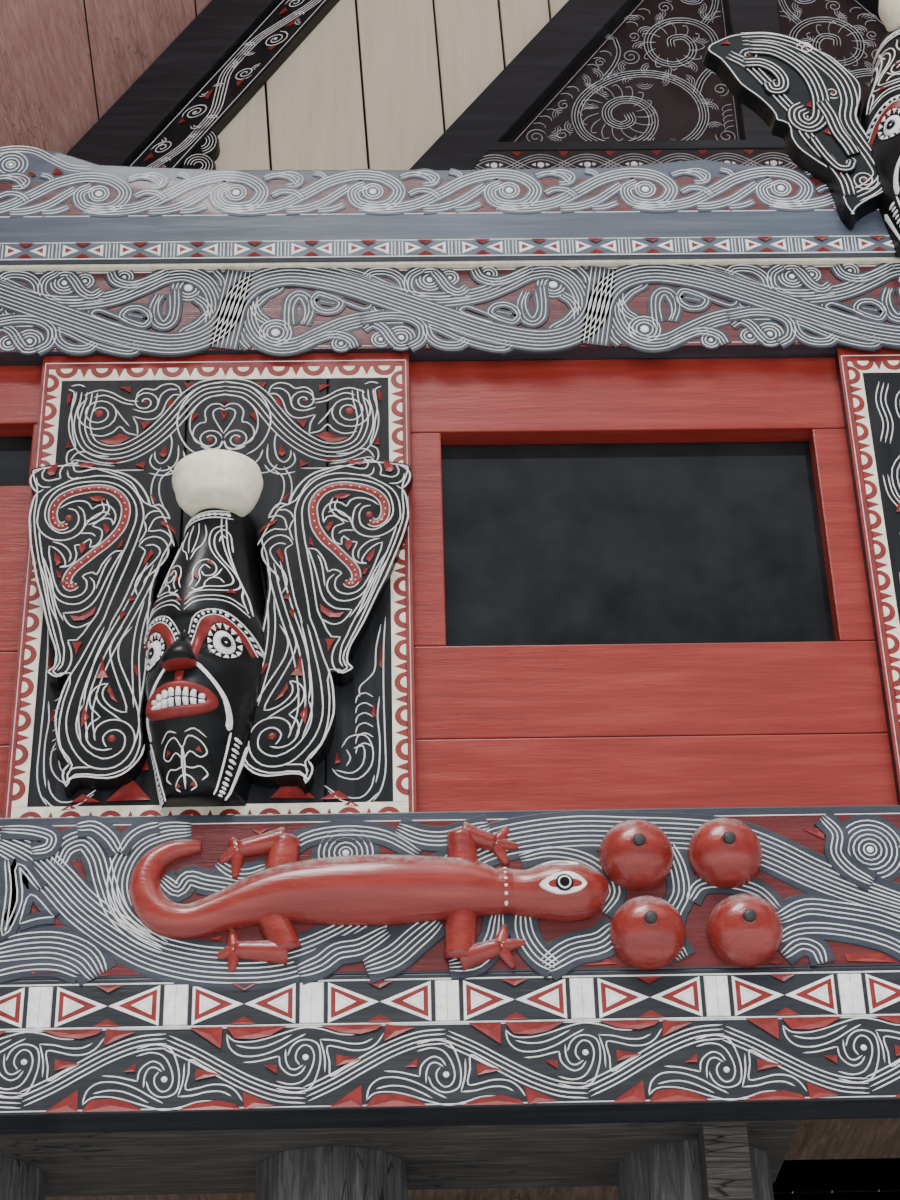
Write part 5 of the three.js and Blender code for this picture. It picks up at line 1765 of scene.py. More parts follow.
def panel_frame(carving, half, field_half, low, high):
    """The red border with its thin white line, and the cream band inside it."""
    cream_half = field_half + CREAM_OUT
    cream_low, cream_high = low - 34, high + 30
    borders = [
        (-half + 1, -cream_half, PANEL_LOW + 1, PANEL_HIGH - 1, RED_CUT),
        (cream_half, half - 1, PANEL_LOW + 1, PANEL_HIGH - 1, RED_CUT),
        (-cream_half, cream_half, cream_high, PANEL_HIGH - 1, RED_CUT),
        (-cream_half, -field_half, low, high, CREAM),
        (field_half, cream_half, low, high, CREAM),
        (-cream_half, cream_half, high, cream_high, CREAM),
        (-cream_half, cream_half, cream_low, low, CREAM),
    ]
    for x0, x1, z0, z1, material in borders:
        carving.field([(x0, z0), (x1, z0), (x1, z1), (x0, z1)], 1.2, material, 0.0, 0.4)
    line = [(-half + 8, PANEL_LOW + 4), (-half + 8, PANEL_HIGH - 22), (half - 8, PANEL_HIGH - 22),
            (half - 8, PANEL_LOW + 4)]
    for start, end in zip(line, line[1:]):
        carving.stroke(straight(start, end, 30), 3.0, 2.2, WHITE, 0.8, False)
    across = max(1, round(2 * cream_half / SCALLOP_STEP))
    upright = round((cream_high - low) / SCALLOP_STEP)
    scallop_row(carving, (cream_half, cream_high), (-cream_half, cream_high), across)
    scallop_row(carving, (-cream_half, cream_low), (cream_half, cream_low), across)
    scallop_row(carving, (-cream_half, cream_high), (-cream_half, low), upright)
    scallop_row(carving, (cream_half, low), (cream_half, cream_high), upright)


PANEL_STREAM = [(0, 84), (43, 76), (72, 52), (94, 20), (117, -13), (143, -43), (173, -68), (200, -83),
                (230, -88), (257, -82), (280, -66), (293, -40), (299, -10), (296, 22), (290, 48), (288, 72)]
PANEL_LINES = [
    [(0, 97), (50, 84), (84, 46), (97, 0), (90, -42), (70, -76), (48, -92)],
    [(0, 64), (36, 54), (60, 30), (70, 0), (67, -36), (44, -66), (12, -78), (0, -58)],
    [(0, 30), (10, 38), (27, 37), (40, 20), (38, -8), (48, -10), (60, -23), (63, -42), (57, -57), (42, -66)],
    [(0, 22), (10, 27), (22, 20), (22, 6), (13, -14), (0, -38)],
    [(2, -56), (8, -72), (27, -78), (46, -70)],
    [(90, 60), (97, 83), (113, 92), (133, 88), (147, 77), (167, 80), (182, 68), (184, 52)],
    [(92, 63), (107, 63), (120, 47), (130, 17), (143, 3), (160, 0), (188, 8)],
    [(100, 77), (117, 77), (133, 63), (143, 27), (163, 19), (190, 27)],
    [(180, 47), (202, 50), (220, 60), (235, 70), (260, 77), (283, 70), (293, 64)],
    [(188, 38), (212, 44), (232, 56), (252, 64), (272, 58)],
    [(177, -40), (180, -13), (190, 8)],
    [(177, -40), (200, -33), (215, -17), (228, -31), (250, -41), (276, -36)],
    [(195, -17), (212, 6), (226, 28)],
    [(110, -37), (106, -56), (107, -80), (114, -103), (127, -112), (138, -100), (140, -82)],
    [(92, -66), (92, -100), (101, -120), (120, -130), (140, -123), (149, -107), (145, -88)],
    [(82, -80), (76, -100), (64, -116)], [(86, -118), (98, -134), (120, -142), (150, -136)],
    [(327, 80), (315, 73), (316, 50), (318, 20), (314, -7), (310, -40), (304, -70), (317, -80), (320, -100),
     (314, -117)],
    [(292, 86), (306, 92), (322, 88)],
    [(233, -93), (262, -90), (284, -80), (301, -85), (312, -103)],
    [(220, -117), (253, -112), (283, -105), (305, -102), (312, -117)],
    [(160, -128), (200, -128), (240, -128), (280, -122)],
]
PANEL_COILS = [(260, 17, 12, 47, 2.1, 20), (166, 45, 5, 29, 1.6, 0), (28, -53, 8, 26, 1.4, 30)]
PANEL_CHIPS = [
    [(190, -47), (213, -37), (233, -50), (257, -53), (240, -63), (218, -66)],
    [(118, -68), (114, -92), (122, -99), (130, -90)], [(150, -7), (173, -7), (165, -27)],
    [(106, 57), (117, 43), (118, 26), (107, 40)], [(197, 84), (222, 84), (197, 68)],
    [(158, -108), (178, -116), (160, -126)], [(320, 70), (328, 60), (327, 37), (320, 50)],
    [(312, -70), (320, -52), (323, -72)], [(-10, 42), (10, 42), (0, 34)], [(66, -8), (52, 10), (66, 14)],
    [(62, 92), (86, 92), (80, 78)], [(200, -104), (240, -106), (220, -112)],
]
SIDE_LINES = [
    [(331, 442), (327, 375), (326, 273), (328, 172), (328, 98), (318, 58), (305, 38)],
    [(322, 425), (312, 370), (308, 318), (292, 298), (280, 284), (280, 262)],
    [(245, 152), (260, 175), (290, 178), (304, 152), (301, 112), (276, 85), (240, 92), (227, 108)],
    [(268, 150), (286, 155), (286, 118), (266, 98), (234, 104)],
    [(254, 148), (262, 130), (254, 112)],
    [(213, 72), (240, 52), (280, 45), (300, 65), (307, 92)],
    [(220, 60), (250, 38), (290, 33), (314, 55)],
    [(318, 262), (314, 220), (318, 170), (316, 110), (310, 76)],
]
CAP_SIDE_LINES = [
    [(112, 700), (126, 740), (124, 780), (104, 800)], [(126, 690), (142, 735), (140, 778), (126, 806)],
    [(98, 640), (112, 600), (116, 560), (108, 520)], [(110, 650), (126, 606), (130, 560), (122, 515)],
    [(60, 806), (76, 792), (100, 796), (112, 812)],
]
FOOT_CHIPS = [[(112, 46), (196, 44), (150, 92)], [(118, 110), (150, 104), (130, 150)],
              [(204, 42), (262, 42), (240, 60)], [(100, 660), (108, 690), (112, 660)]]
SIDE_CHIPS = [[(236, 140), (244, 120), (232, 116)], [(302, 225), (309, 246), (311, 214)],
              [(250, 30), (280, 26), (262, 38)], [(318, 330), (322, 380), (325, 320)]]


def carve_panel(carving):
    u0, v0 = MEDALLION
    for side in (-1, 1):
        def about(points, u_base, v_base):
            """Points drawn about a place of the left half, on the side that is carved."""
            return [(side * (u_base + u), v_base + v) for u, v in points]

        middle = smooth(about(PANEL_STREAM, u0, v0), 4)
        for off in (-22, -11, 0, 11, 22):
            carving.stroke(shifted(middle, off), 3.6, 1.5)
        for line in PANEL_LINES:
            carving.stroke(smooth(about(line, u0, v0), 3), 3.8, 1.5)
        for chip in PANEL_CHIPS:
            carving.hollow(about(chip, u0, v0))
        for u, v, start, end, turns, first in PANEL_COILS:
            coil = spiral(u, v, start, end, turns, first, 16)
            carving.stroke([(side * (u0 + a), v0 + b) for a, b in coil], 3.8, 1.5)
            carving.dot(side * (u0 + u), v0 + v, start * 0.8, 2.4, RED_CUT)
        for line in SIDE_LINES:
            carving.stroke(smooth(about(line, 0, PANEL_LOW), 3), 3.6, 1.5)
        for chip in SIDE_CHIPS:
            carving.hollow(about(chip, 0, PANEL_LOW))
        for hook in range(6):
            v = 262 - hook * 22
            bend = [(306, v), (290, v + 9), (276, v + 2), (272, v - 14)]
            carving.stroke(smooth(about(bend, 0, PANEL_LOW), 3), 3.4, 1.5)
        for line in CAP_SIDE_LINES:
            carving.stroke(smooth(about(line, 0, PANEL_LOW), 3), 3.6, 1.5)
        for chip in FOOT_CHIPS:
            carving.hollow(about(chip, 0, PANEL_LOW))
    carving.hollow([(0, v0 + 12), (-9, v0 + 22), (0, v0 - 8), (9, v0 + 22)])


def make_mask_panels():
    for name, sign in (("left", -1), ("right", 1)):
        middle = sign * MASK_X + sign * 1.0
        panel_boards(f"mask_panel_{name}_boards", middle, PANEL_HALF, PANEL_SEAMS, f"mask_panel_{name}",
                     -sign)
        carving = Carving(front_face(PANEL_FACE, middle))
        panel_frame(carving, PANEL_HALF, FIELD_HALF, FIELD_LOW, FIELD_HIGH)
        carve_panel(carving)
        carving.piece(f"mask_panel_{name}_carving")


CENTRE_HALF = 182.0
CENTRE_FIELD = 134.0
CENTRE_STREAMS = [
    ([(0, 3612), (50, 3590), (84, 3540), (70, 3480), (20, 3450), (-40, 3430), (-86, 3380), (-76, 3310),
      (-20, 3270)], 4, 11),
    ([(0, 3566), (30, 3544), (34, 3506), (8, 3488), (-18, 3504), (-12, 3530), (6, 3530)], 3, 9),
    ([(-92, 3606), (-104, 3560), (-96, 3500), (-108, 3450)], 3, 10),
    ([(110, 3470), (104, 3400), (60, 3366), (20, 3376), (6, 3404), (24, 3424), (46, 3414)], 3, 9),
    ([(-30, 3600), (-64, 3570), (-66, 3520), (-44, 3492)], 2, 10),
    ([(-118, 3370), (-112, 3320), (-92, 3284)], 2, 10),
    ([(112, 3340), (96, 3310), (70, 3296), (40, 3300)], 3, 9),
]
CENTRE_CHIPS = [[(-40, 3560), (-50, 3520), (-36, 3500)], [(40, 3440), (70, 3420), (60, 3450)],
                [(-30, 3350), (-10, 3330), (-14, 3360)], [(90, 3350), (104, 3320), (106, 3360)],
                [(-100, 3300), (-84, 3280), (-108, 3276)]]
CENTRE_PERIOD = 346.0


def make_centre_panel():
    panel_boards("centre_panel_boards", 0.0, CENTRE_HALF, (-6.0,), "centre_panel")
    carving = Carving(front_face(PANEL_FACE))
    panel_frame(carving, CENTRE_HALF, CENTRE_FIELD, FIELD_LOW, FIELD_HIGH)
    for index in range(3):
        turn = 1 if index % 2 == 0 else -1
        drop = index * CENTRE_PERIOD * 0.98
        for guide, count, gap in CENTRE_STREAMS:
            middle = smooth([(turn * u, v - drop) for u, v in guide], 4)
            for off in spread(count, gap):
                carving.stroke(shifted(middle, off), 3.6, 1.5)
        for chip in CENTRE_CHIPS:
            carving.hollow([(turn * u, v - drop) for u, v in chip])
        carving.stroke(spiral(-turn * 60, 3330 - drop, 5, 30, 1.8 * turn, 40, 14), 3.6, 1.5)
        carving.stroke(spiral(turn * 92, 3560 - drop, 4, 22, 1.5 * turn, 90, 14), 3.6, 1.5)
    carving.piece("centre_panel_carving")


# The red plank walls: boards with open seams, and stiles at the windows' sides

WALL_OUT = 4000.0
WALL_IN = 3950.0
WALL_LOW = 2600.5
WALL_HIGH = 3700.0
PLANK_SEAM = 2785.0
WINDOW_X = (250.0, 1028.0)
WINDOW_Z = (2993.0, 3511.0)
SLOT_X = (1880.0, 2560.0)
SLOT_Z = (3389.0, 3545.0)
SIDE_X = (2700.0, 2750.0)
SIDE_WINDOW_Y = (-2500.0, 0.0, 2500.0)


def end_wall(name, node, sign):
    """Long boards from panel to panel, with short ones beside each window and slot."""
    edge, behind = 2750.0, MASK_X
    inner_rows = [(WALL_LOW, PLANK_SEAM), (PLANK_SEAM, WINDOW_Z[0]), (WINDOW_Z[1], WALL_HIGH)]
    outer_rows = [(WALL_LOW, PLANK_SEAM), (PLANK_SEAM, WINDOW_Z[0]), (WINDOW_Z[0], SLOT_Z[0]),
                  (SLOT_Z[1], WALL_HIGH)]
    flat = [(0.0, behind, *row) for row in inner_rows] + [(behind, edge, *row) for row in outer_rows]
    flat += [(0.0, WINDOW_X[0], *WINDOW_Z), (WINDOW_X[1], behind, *WINDOW_Z)]
    flat += [(behind, SLOT_X[0], *SLOT_Z), (SLOT_X[1], edge, *SLOT_Z)]
    near, far = sorted((sign * WALL_IN, sign * WALL_OUT))
    boards = []
    for side in (-1, 1):
        for x0, x1, z0, z1 in flat:
            left, right = sorted((side * x0, side * x1))
            boards.append((left + 0.7, right - 0.7, near, far, z0 + 0.8, z1 - 0.8))
    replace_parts(planks_piece(name, boards, RED, 3.2), node)


def side_wall(name, node, sign):
    half = (WINDOW_X[1] - WINDOW_X[0]) / 2
    stops = [-3949.5]
    for middle in SIDE_WINDOW_Y:
        stops += [middle - half, middle + half]
    stops.append(3949.5)
    near, far = sorted((sign * SIDE_X[0], sign * SIDE_X[1]))
    boards = []
    for index, (start, end) in enumerate(zip(stops, stops[1:])):
        window = index % 2 == 1
        pieces = [(start, end)] if window else [(start, (start + end) / 2), ((start + end) / 2, end)]
        for left, right in pieces:
            levels = [WALL_LOW, PLANK_SEAM, *WINDOW_Z]
            for low, high in zip(levels, levels[1:] + [WALL_HIGH]):
                if window and low == WINDOW_Z[0]:
                    continue
                boards.append((near, far, left + 0.7, right - 0.7, low + 0.7, high - 0.7))
    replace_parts(planks_piece(name, boards, RED_Y, 2.6), node)


def make_cream_strip():
    """A thin cream batten between the upper beam and the rail board."""
    planks_piece("cream_batten", [(-2806.0, 2806.0, -4059.0, -4000.0, 3917.0, 3924.4)], CREAM, 1.5)


def make_walls():
    end_wall("front_wall_planks", "front_wall", -1)
    end_wall("back_wall_planks", "back_wall", 1)
    side_wall("left_wall_planks", "left_wall", -1)
    side_wall("right_wall_planks", "right_wall", 1)


# Lizards and breasts in half relief

SPINE = [
    # distance from the middle, height, radius
    (747, 2440, 15), (762, 2438, 35), (778, 2434, 47), (800, 2431, 56), (850, 2431, 57), (897, 2428, 46),
    (935, 2433, 44), (955, 2432, 46), (1000, 2438, 57), (1060, 2439, 62), (1150, 2438, 68), (1250, 2438, 65),
    (1340, 2434, 55), (1400, 2419, 46), (1455, 2400, 37), (1512, 2384, 33), (1554, 2394, 34),
    (1583, 2428, 31), (1590, 2466, 28), (1575, 2503, 24), (1546, 2524, 20), (1512, 2532, 16),
    (1490, 2533, 11),
]
LEGS = [
    # hip, knee, ankle, then the tips of three toes
    ([(1010, 2470), (1012, 2552), (950, 2530)], [(926, 2562), (907, 2524), (930, 2488)]),
    ([(1015, 2400), (1022, 2302), (948, 2326)], [(938, 2368), (902, 2334), (925, 2286)]),
    ([(1345, 2470), (1334, 2546), (1422, 2526)], [(1436, 2548), (1456, 2501), (1427, 2468)]),
    ([(1362, 2400), (1328, 2322), (1424, 2328)], [(1430, 2368), (1454, 2315), (1428, 2286)]),
]
RELIEF_FACE = -4060.5
COLLAR_X = 935


def relief_tube(carving, path, sides):
    """A tube of changing radius along a path on the board; its back half is inside the board."""
    points = []
    last = len(path) - 1
    for index, (x, z, radius) in enumerate(path):
        before, after = path[max(index - 1, 0)], path[min(index + 1, last)]
        run = Vector((after[0] - before[0], after[1] - before[1])).normalized()
        for k in range(sides):
            angle = math.tau * k / sides
            across = radius * math.cos(angle)
            out = max(radius * math.sin(angle), -2.0)
            points.append((x - run.y * across, z + run.x * across, out))
    carving.add(points, ring_faces(len(path), sides), RED_PALE_ABOVE)


def limb(start, end, radii, steps):
    """The path of a tube from one joint to the next, with its radii at the start, the middle and the end."""
    middle = ((start[0] + end[0]) / 2, (start[1] + end[1]) / 2)
    return smooth([(*start, radii[0]), (*middle, radii[1]), (*end, radii[2])], steps)


def lizard_skin(x, z):
    """How far the lizard's back stands off the board at a place on it."""
    best = 0.0
    for (x0, z0, r0), (x1, z1, r1) in zip(SPINE, SPINE[1:]):
        if x0 <= x <= x1:
            t = (x - x0) / (x1 - x0)
            middle, radius = z0 + (z1 - z0) * t, r0 + (r1 - r0) * t
            best = max(best, math.sqrt(max(radius ** 2 - (z - middle) ** 2, 0.0)))
    return best


def make_lizard(name, node, side):
    body = Carving(front_face(RELIEF_FACE, side=side), side > 0)
    relief_tube(body, smooth(SPINE, 5), 28)
    for (hip, knee, ankle), toes in LEGS:
        relief_tube(body, limb(hip, knee, (30, 29, 27), 4), 16)
        relief_tube(body, limb(knee, ankle, (25, 20, 17), 4), 16)
        for toe in toes:
            relief_tube(body, limb(ankle, toe, (15, 11.5, 6), 3), 12)
    body_piece = body.piece(f"{name}_body", True)
    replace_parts(body_piece, node)
    board = front_face(RELIEF_FACE, side=side)
    marks = Carving(lambda u, v, lift: board(u, v, lizard_skin(u, v) + lift), side < 0)
    collar = [(COLLAR_X, 2388 + 90 * k / 16) for k in range(17)]
    marks.stroke(collar, 26, 5.0, RED_PALE_ABOVE, 0.0, False)
    for k in range(6):
        marks.dot(COLLAR_X, 2398 + 14 * k, 3.4, 2.0, WHITE, 4.6, 8)
    eye = smooth([(876, 2424), (850, 2442), (820, 2448), (798, 2436), (788, 2424), (808, 2408), (838, 2404),
                  (862, 2412)], 3, True)
    marks.field(eye, 3.0, WHITE, 0.5, 1.5)
    for radius, material, lift in ((16, BLACK_INK, 3.4), (12.5, WHITE, 4.2), (9.5, BLACK_INK, 5.0)):
        marks.field(ellipse(830, 2425, radius, radius, 18), 1.2, material, lift, 0.5)
    top_eye = smooth([(872, 2470), (846, 2480), (812, 2476), (800, 2466), (836, 2464)], 3, True)
    marks.field(top_eye, 3.0, WHITE, 0.5, 1.0)
    marks.piece(f"{name}_marks")


BREAST_AT = [(692, 2500), (528, 2501), (681, 2347), (505, 2348)]
BREAST_R = 69.0


def make_breasts(name, node, side):
    """Domes turned from three profiles of radius and height: the dome, a ring and the tip."""
    domes = Carving(front_face(RELIEF_FACE, side=side), side > 0)
    rings, sides = 14, 32
    quarter = [math.pi / 2 * k / rings for k in range(rings)]
    dome = [(BREAST_R * math.cos(angle) ** 0.92, BREAST_R * math.sin(angle)) for angle in quarter]
    dome.append((13, 68.5))
    ring = [(15, 67.0), (14, 70.5), (11.5, 71.0)]
    tip = [(11, 69.0), (11.5, 75.0), (9, 79.0), (4, 79.8), (0.2, 79.9)]
    for x, z in BREAST_AT:
        for profile, material in ((dome, RED_PALE_ABOVE), (ring, LIZARD_RED), (tip, NIPPLE)):
            points = []
            for radius, out in profile:
                for k in range(sides):
                    angle = math.tau * k / sides
                    points.append((x + radius * math.cos(angle), z + radius * math.sin(angle), out - 0.5))
            domes.add(points, ring_faces(len(profile), sides, True, False), material)
    piece = domes.piece(name, True)
    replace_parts(piece, node)


def make_reliefs():
    for name, sign in (("left", -1), ("right", 1)):
        make_lizard(f"lizard_{name}", f"lizard_{name}", sign)
        make_breasts(f"breasts_{name}_domes", f"breasts_{name}", sign)
        make_mask(f"mask_{name}", sign * MASK_X, PANEL_FACE, MASK_FOOT, -sign, f"mask_{name}")
    middle, foot = RAIL_MASK_AT
    make_mask("rail_mask", middle, RAIL_FACE, foot, 1, "rail_mask", True)


# The roof's shape, and the front gable under it: boards, carved triangle and struts

EAVE_X, EAVE_END_Y, EAVE_Z, EAVE_RISE = 3750.0, 5000.0, 3000.0, 250.0
RIDGE_X, RIDGE_END_Y, RIDGE_Z, RIDGE_RISE = 60.0, 6800.0, 8500.0, 1900.0
ROOF_SAG = 60.0
ROOF_THICK = 210.0
ROOF_CLEAR = 16.0
GABLE_Y = 2750.0
GABLE_LOW = 3966.0
GABLE_HALF = 2698.0
EDGE_WIDTH = 190.0
GABLE_SEAMS = (205, 430, 600, 752, 950, 1185, 1475, 1740, 2000, 2260, 2490)
SEAM_FAN = 0.00005
SEAM_FAN_FROM = 5300.0
OPEN_SEAM = 3.5
UNDER_ROOF = 6


def roof_point(sign, along, up, depth=0.0):
    """A point of a roof slope: along runs from -1 in front to 1 behind, up from eave to ridge, depth down."""
    rise = along * along
    eave = Vector((EAVE_X, along * EAVE_END_Y, EAVE_Z + EAVE_RISE * rise))
    ridge = Vector((RIDGE_X, along * RIDGE_END_Y, RIDGE_Z + RIDGE_RISE * rise))
    inward = Vector((-(ridge.z - eave.z), 0.0, -(eave.x - ridge.x))).normalized()
    point = eave.lerp(ridge, up) + inward * (ROOF_SAG * math.sin(math.pi * up))
    return Vector((sign * point.x, point.y, point.z - depth))


def underside_at(x):
    """The height of the roof's underside over a place on a gable wall."""
    low, high = 0.0, 1.0
    for _ in range(30):
        up = (low + high) / 2
        along = -GABLE_Y / (EAVE_END_Y + (RIDGE_END_Y - EAVE_END_Y) * up)
        point = roof_point(1, along, up, ROOF_THICK + ROOF_CLEAR)
        if point.x > abs(x):
            low = up
        else:
            high = up
    return point.z


def underside_x(z):
    """How far from the middle the roof's underside has a height, on a gable wall."""
    low, high = 0.0, GABLE_HALF + 900
    for _ in range(24):
        middle = (low + high) / 2
        if underside_at(middle) > z:
            low = middle
        else:
            high = middle
    return low


def skin(work, rows, slot=0):
    """A closed skin through rings of points: every ring joins the next and the two ends are capped."""
    rings = [[work.verts.new(Vector(point) * MM) for point in row] for row in rows]
    faces = []
    for near, far in zip(rings, rings[1:]):
        for k in range(len(near)):
            after = (k + 1) % len(near)
            faces.append(work.faces.new((near[k], near[after], far[after], far[k])))
    faces.append(work.faces.new(rings[0][::-1]))
    faces.append(work.faces.new(rings[-1]))
    for face in faces:
        face.material_index = slot
    return faces


def finish_mesh(name, work, materials):
    bmesh.ops.recalc_face_normals(work, faces=work.faces)
    mesh = bpy.data.meshes.new(name)
    work.to_mesh(mesh)
    work.free()
    return new_piece(name, mesh, *materials)


def gable_wall(name, node, way):
    """Upright boards with open seams between them, a little fanned, over a near-black backing: painted shade
    in the seams.
    """
    work = bmesh.new()
    seams = [-GABLE_HALF] + [-seam for seam in GABLE_SEAMS[::-1]] + list(GABLE_SEAMS) + [GABLE_HALF]
    top_limit = underside_at(170)

    def seam_x(seam, z):
        if abs(seam) > 2600:
            return seam
        return seam * (1 + SEAM_FAN * (z - SEAM_FAN_FROM) * 0.9)

    def seam_top(seam):
        z = min(underside_at(seam), top_limit)
        for _ in range(5):
            z = min(underside_at(seam_x(seam, z)), top_limit)
        return z

    maker = random.Random(7)
    for left, right in zip(seams, seams[1:]):
        step_in = maker.uniform(0, 5)
        tops = [left + (right - left) * part for part in (0.75, 0.5, 0.25)]
        outline = [(seam_x(left, GABLE_LOW) + OPEN_SEAM, GABLE_LOW),
                   (seam_x(right, GABLE_LOW) - OPEN_SEAM, GABLE_LOW),
                   (seam_x(right, seam_top(right)) - OPEN_SEAM, seam_top(right) - UNDER_ROOF)]
        outline += [(seam_x(x, seam_top(x)), seam_top(x) - UNDER_ROOF) for x in tops]
        outline.append((seam_x(left, seam_top(left)) + OPEN_SEAM, seam_top(left) - UNDER_ROOF))
        front = way * (GABLE_Y - step_in)
        back = way * (GABLE_Y - 36)
        rings = [[(x, front, z) for x, z in inset(outline, 2.0)],
                 [(x, front - way * 2.0, z) for x, z in outline],
                 [(x, back, z) for x, z in outline]]
        skin(work, rings)
    # The backing's near-black colour is painted shade for the gaps between the boards.
    backing = [(-GABLE_HALF + 4, GABLE_LOW + 4), (GABLE_HALF - 4, GABLE_LOW + 4)]
    reach = [GABLE_HALF - 4 - k * 120 for k in range(23)]
    backing += [(x, min(underside_at(x), top_limit) - 10) for x in reach]
    backing += [(-x, min(underside_at(x), top_limit) - 10) for x in reach[::-1]]
    skin(work, [[(x, way * (GABLE_Y - depth), z) for x, z in backing] for depth in (38, 49)], 1)
    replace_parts(finish_mesh(name, work, [CREAM_BOARD, SEAM_SHADE]), node)


TRI_LOW, TRI_HALF, TRI_SLOPE, TRI_BAR, TRI_POST = 5230.0, 1118.0, 1.373, 185.0, 75.0
TRI_APEX = TRI_LOW + TRI_HALF * TRI_SLOPE
TRI_FACE = -2790.0
TRI_BAND_FACE = -2846.0
EYE_BAND = (5256.5, 5363.5)
EYE_MIDDLE = 5309.0
EYE_STEP = 137.0
FIELD_FOOT = 5401.0


def triangle_edge(z):
    return (TRI_APEX - z) / TRI_SLOPE - TRI_BAR


GABLE_STREAMS = [
    ([(700, 5420), (600, 5412), (500, 5405), (400, 5402), (290, 5420), (215, 5470), (180, 5540), (190, 5625),
      (240, 5690), (320, 5725), (410, 5720), (490, 5680), (545, 5620), (565, 5550), (545, 5480), (490, 5440),
      (425, 5436), (365, 5462), (335, 5515), (340, 5575), (380, 5615), (435, 5615), (470, 5580), (465, 5535),
      (430, 5515), (400, 5535), (408, 5565)], 4, 9),
    ([(196, 5640), (175, 5700), (135, 5760), (118, 5830), (130, 5900), (180, 5945), (250, 5950), (310, 5910),
      (330, 5850), (310, 5790), (255, 5765), (205, 5790), (190, 5840), (215, 5880), (255, 5872), (256, 5838)],
      3, 10),
    ([(480, 5700), (440, 5760), (420, 5820), (430, 5880)], 2, 10),
    ([(150, 5935), (112, 6000), (103, 6070), (130, 6125), (180, 6130), (212, 6090), (200, 6040), (160, 6034),
      (146, 6068), (168, 6086)], 3, 9),
    ([(110, 6110), (98, 6170), (108, 6225), (135, 6235), (148, 6205), (128, 6190)], 2, 8),
    ([(225, 6080), (215, 6130), (185, 6180), (165, 6230), (140, 6290), (112, 6330), (98, 6300)], 2, 8),
]
GABLE_HOOKS = [(664, 5426), (640, 5500), (576, 5512), (160, 5580), (172, 5626), (228, 5420), (262, 5400),
               (470, 5400), (520, 5404), (455, 5736), (400, 5756), (500, 5722), (520, 5610), (350, 5836),
               (300, 5962), (130, 5980), (126, 5800), (190, 6176), (128, 6160), (222, 5694), (258, 5726),
               (150, 5500), (300, 5450), (330, 5455), (520, 5660), (350, 5690), (390, 5695), (300, 5700),
               (470, 5660), (140, 5720), (290, 5740), (330, 5745), (210, 5750), (160, 5880), (330, 5900),
               (160, 6010), (240, 6060), (640, 5450), (560, 5440), (610, 5560), (540, 5700), (440, 5900),
               (370, 5950), (290, 5985), (230, 6130)]
GABLE_COILS = [(690, 5470, 5, 34, 1.9, 200), (610, 5480, 4, 24, 1.5, 20), (118, 5468, 5, 34, 1.8, 90),
               (120, 5660, 4, 28, 1.6, 60), (600, 5600, 4, 20, 1.3, 10), (385, 5800, 5, 32, 1.8, 20),
               (370, 5885, 4, 20, 1.4, 150), (265, 6010, 4, 26, 1.6, 0), (480, 5775, 4, 16, 1.2, 30)]
# Each hook is turned on from the one before it by this part of a full turn, so that no two look alike
HOOK_TURN = 0.381966
# Across, up, where the leaves start and end, how many
LEAF_CENTRES = [(440, 5568, 92, 118, 16), (255, 5842, 82, 104, 12)]
POST_LEAVES = (5500, 5522, 5544, 5566, 5588, 5730, 5752, 5774, 5960, 5980)
EDGE_LEAVES = (5520, 5548, 5576, 5640, 5668, 5760, 5788, 5816, 5940, 5968, 5996, 6160, 6185)


def carve_eye_band():
    """The row of eyes under the triangle's fields, in a rope of three lines, on its own board."""
    low, high = EYE_BAND
    work = bmesh.new()
    corners = [(-triangle_edge(low) + 1, low), (triangle_edge(low) - 1, low), (triangle_edge(high) - 1, high),
               (-triangle_edge(high) + 1, high)]
    skin(work, [[(x, y, z) for x, z in corners] for y in (TRI_FACE - 1, TRI_BAND_FACE)])
    finish_mesh("eye_band_board", work, [BLACK])
    carving = Carving(front_face(TRI_BAND_FACE))
    carving.field([(-triangle_edge(low) + 2, low), (triangle_edge(low) - 2, low),
                   (triangle_edge(high) - 2, high), (-triangle_edge(high) + 2, high)], 1.0, MAROON, 0.0, 0.4)
    count = int(triangle_edge(EYE_MIDDLE) // EYE_STEP)
    reach = EYE_STEP * (count + 0.42)
    steps = 14 * (2 * count + 1)
    # The white waves are drawn grey: painted shade.
    for way in (-1, 1):
        wave = []
        for k in range(steps + 1):
            u = -reach + 2 * reach * k / steps
            wave.append((u, EYE_MIDDLE + way * 30 * math.cos(math.pi * u / EYE_STEP)))
        for off in (-10, 0, 10):
            carving.stroke(shifted(wave, off), 3.0, 1.6 + 0.25 * way, GREY_AND_SHADED_WHITE, 1.0, False)
    for k in range(-count, count + 1):
        u = k * EYE_STEP
        carving.dot(u, EYE_MIDDLE, 11, 3.6, WHITE, 1.0, 14)
        for way in (-1, 1):
            corner = [(u + way * 15, EYE_MIDDLE - 7), (u + way * 27, EYE_MIDDLE),
                      (u + way * 15, EYE_MIDDLE + 7)]
            carving.field(corner[::way], 1.6, WHITE, 1.0, 0.4)
        between = u + EYE_STEP / 2
        for pocket in ([(between - 17, high - 3), (between, high - 24), (between + 17, high - 3)],
                       [(between - 17, low + 3), (between + 17, low + 3), (between, low + 24)]):
            carving.field(pocket, 1.6, RED_CUT, 1.0, 0.4)
    carving.piece("eye_band_carving")


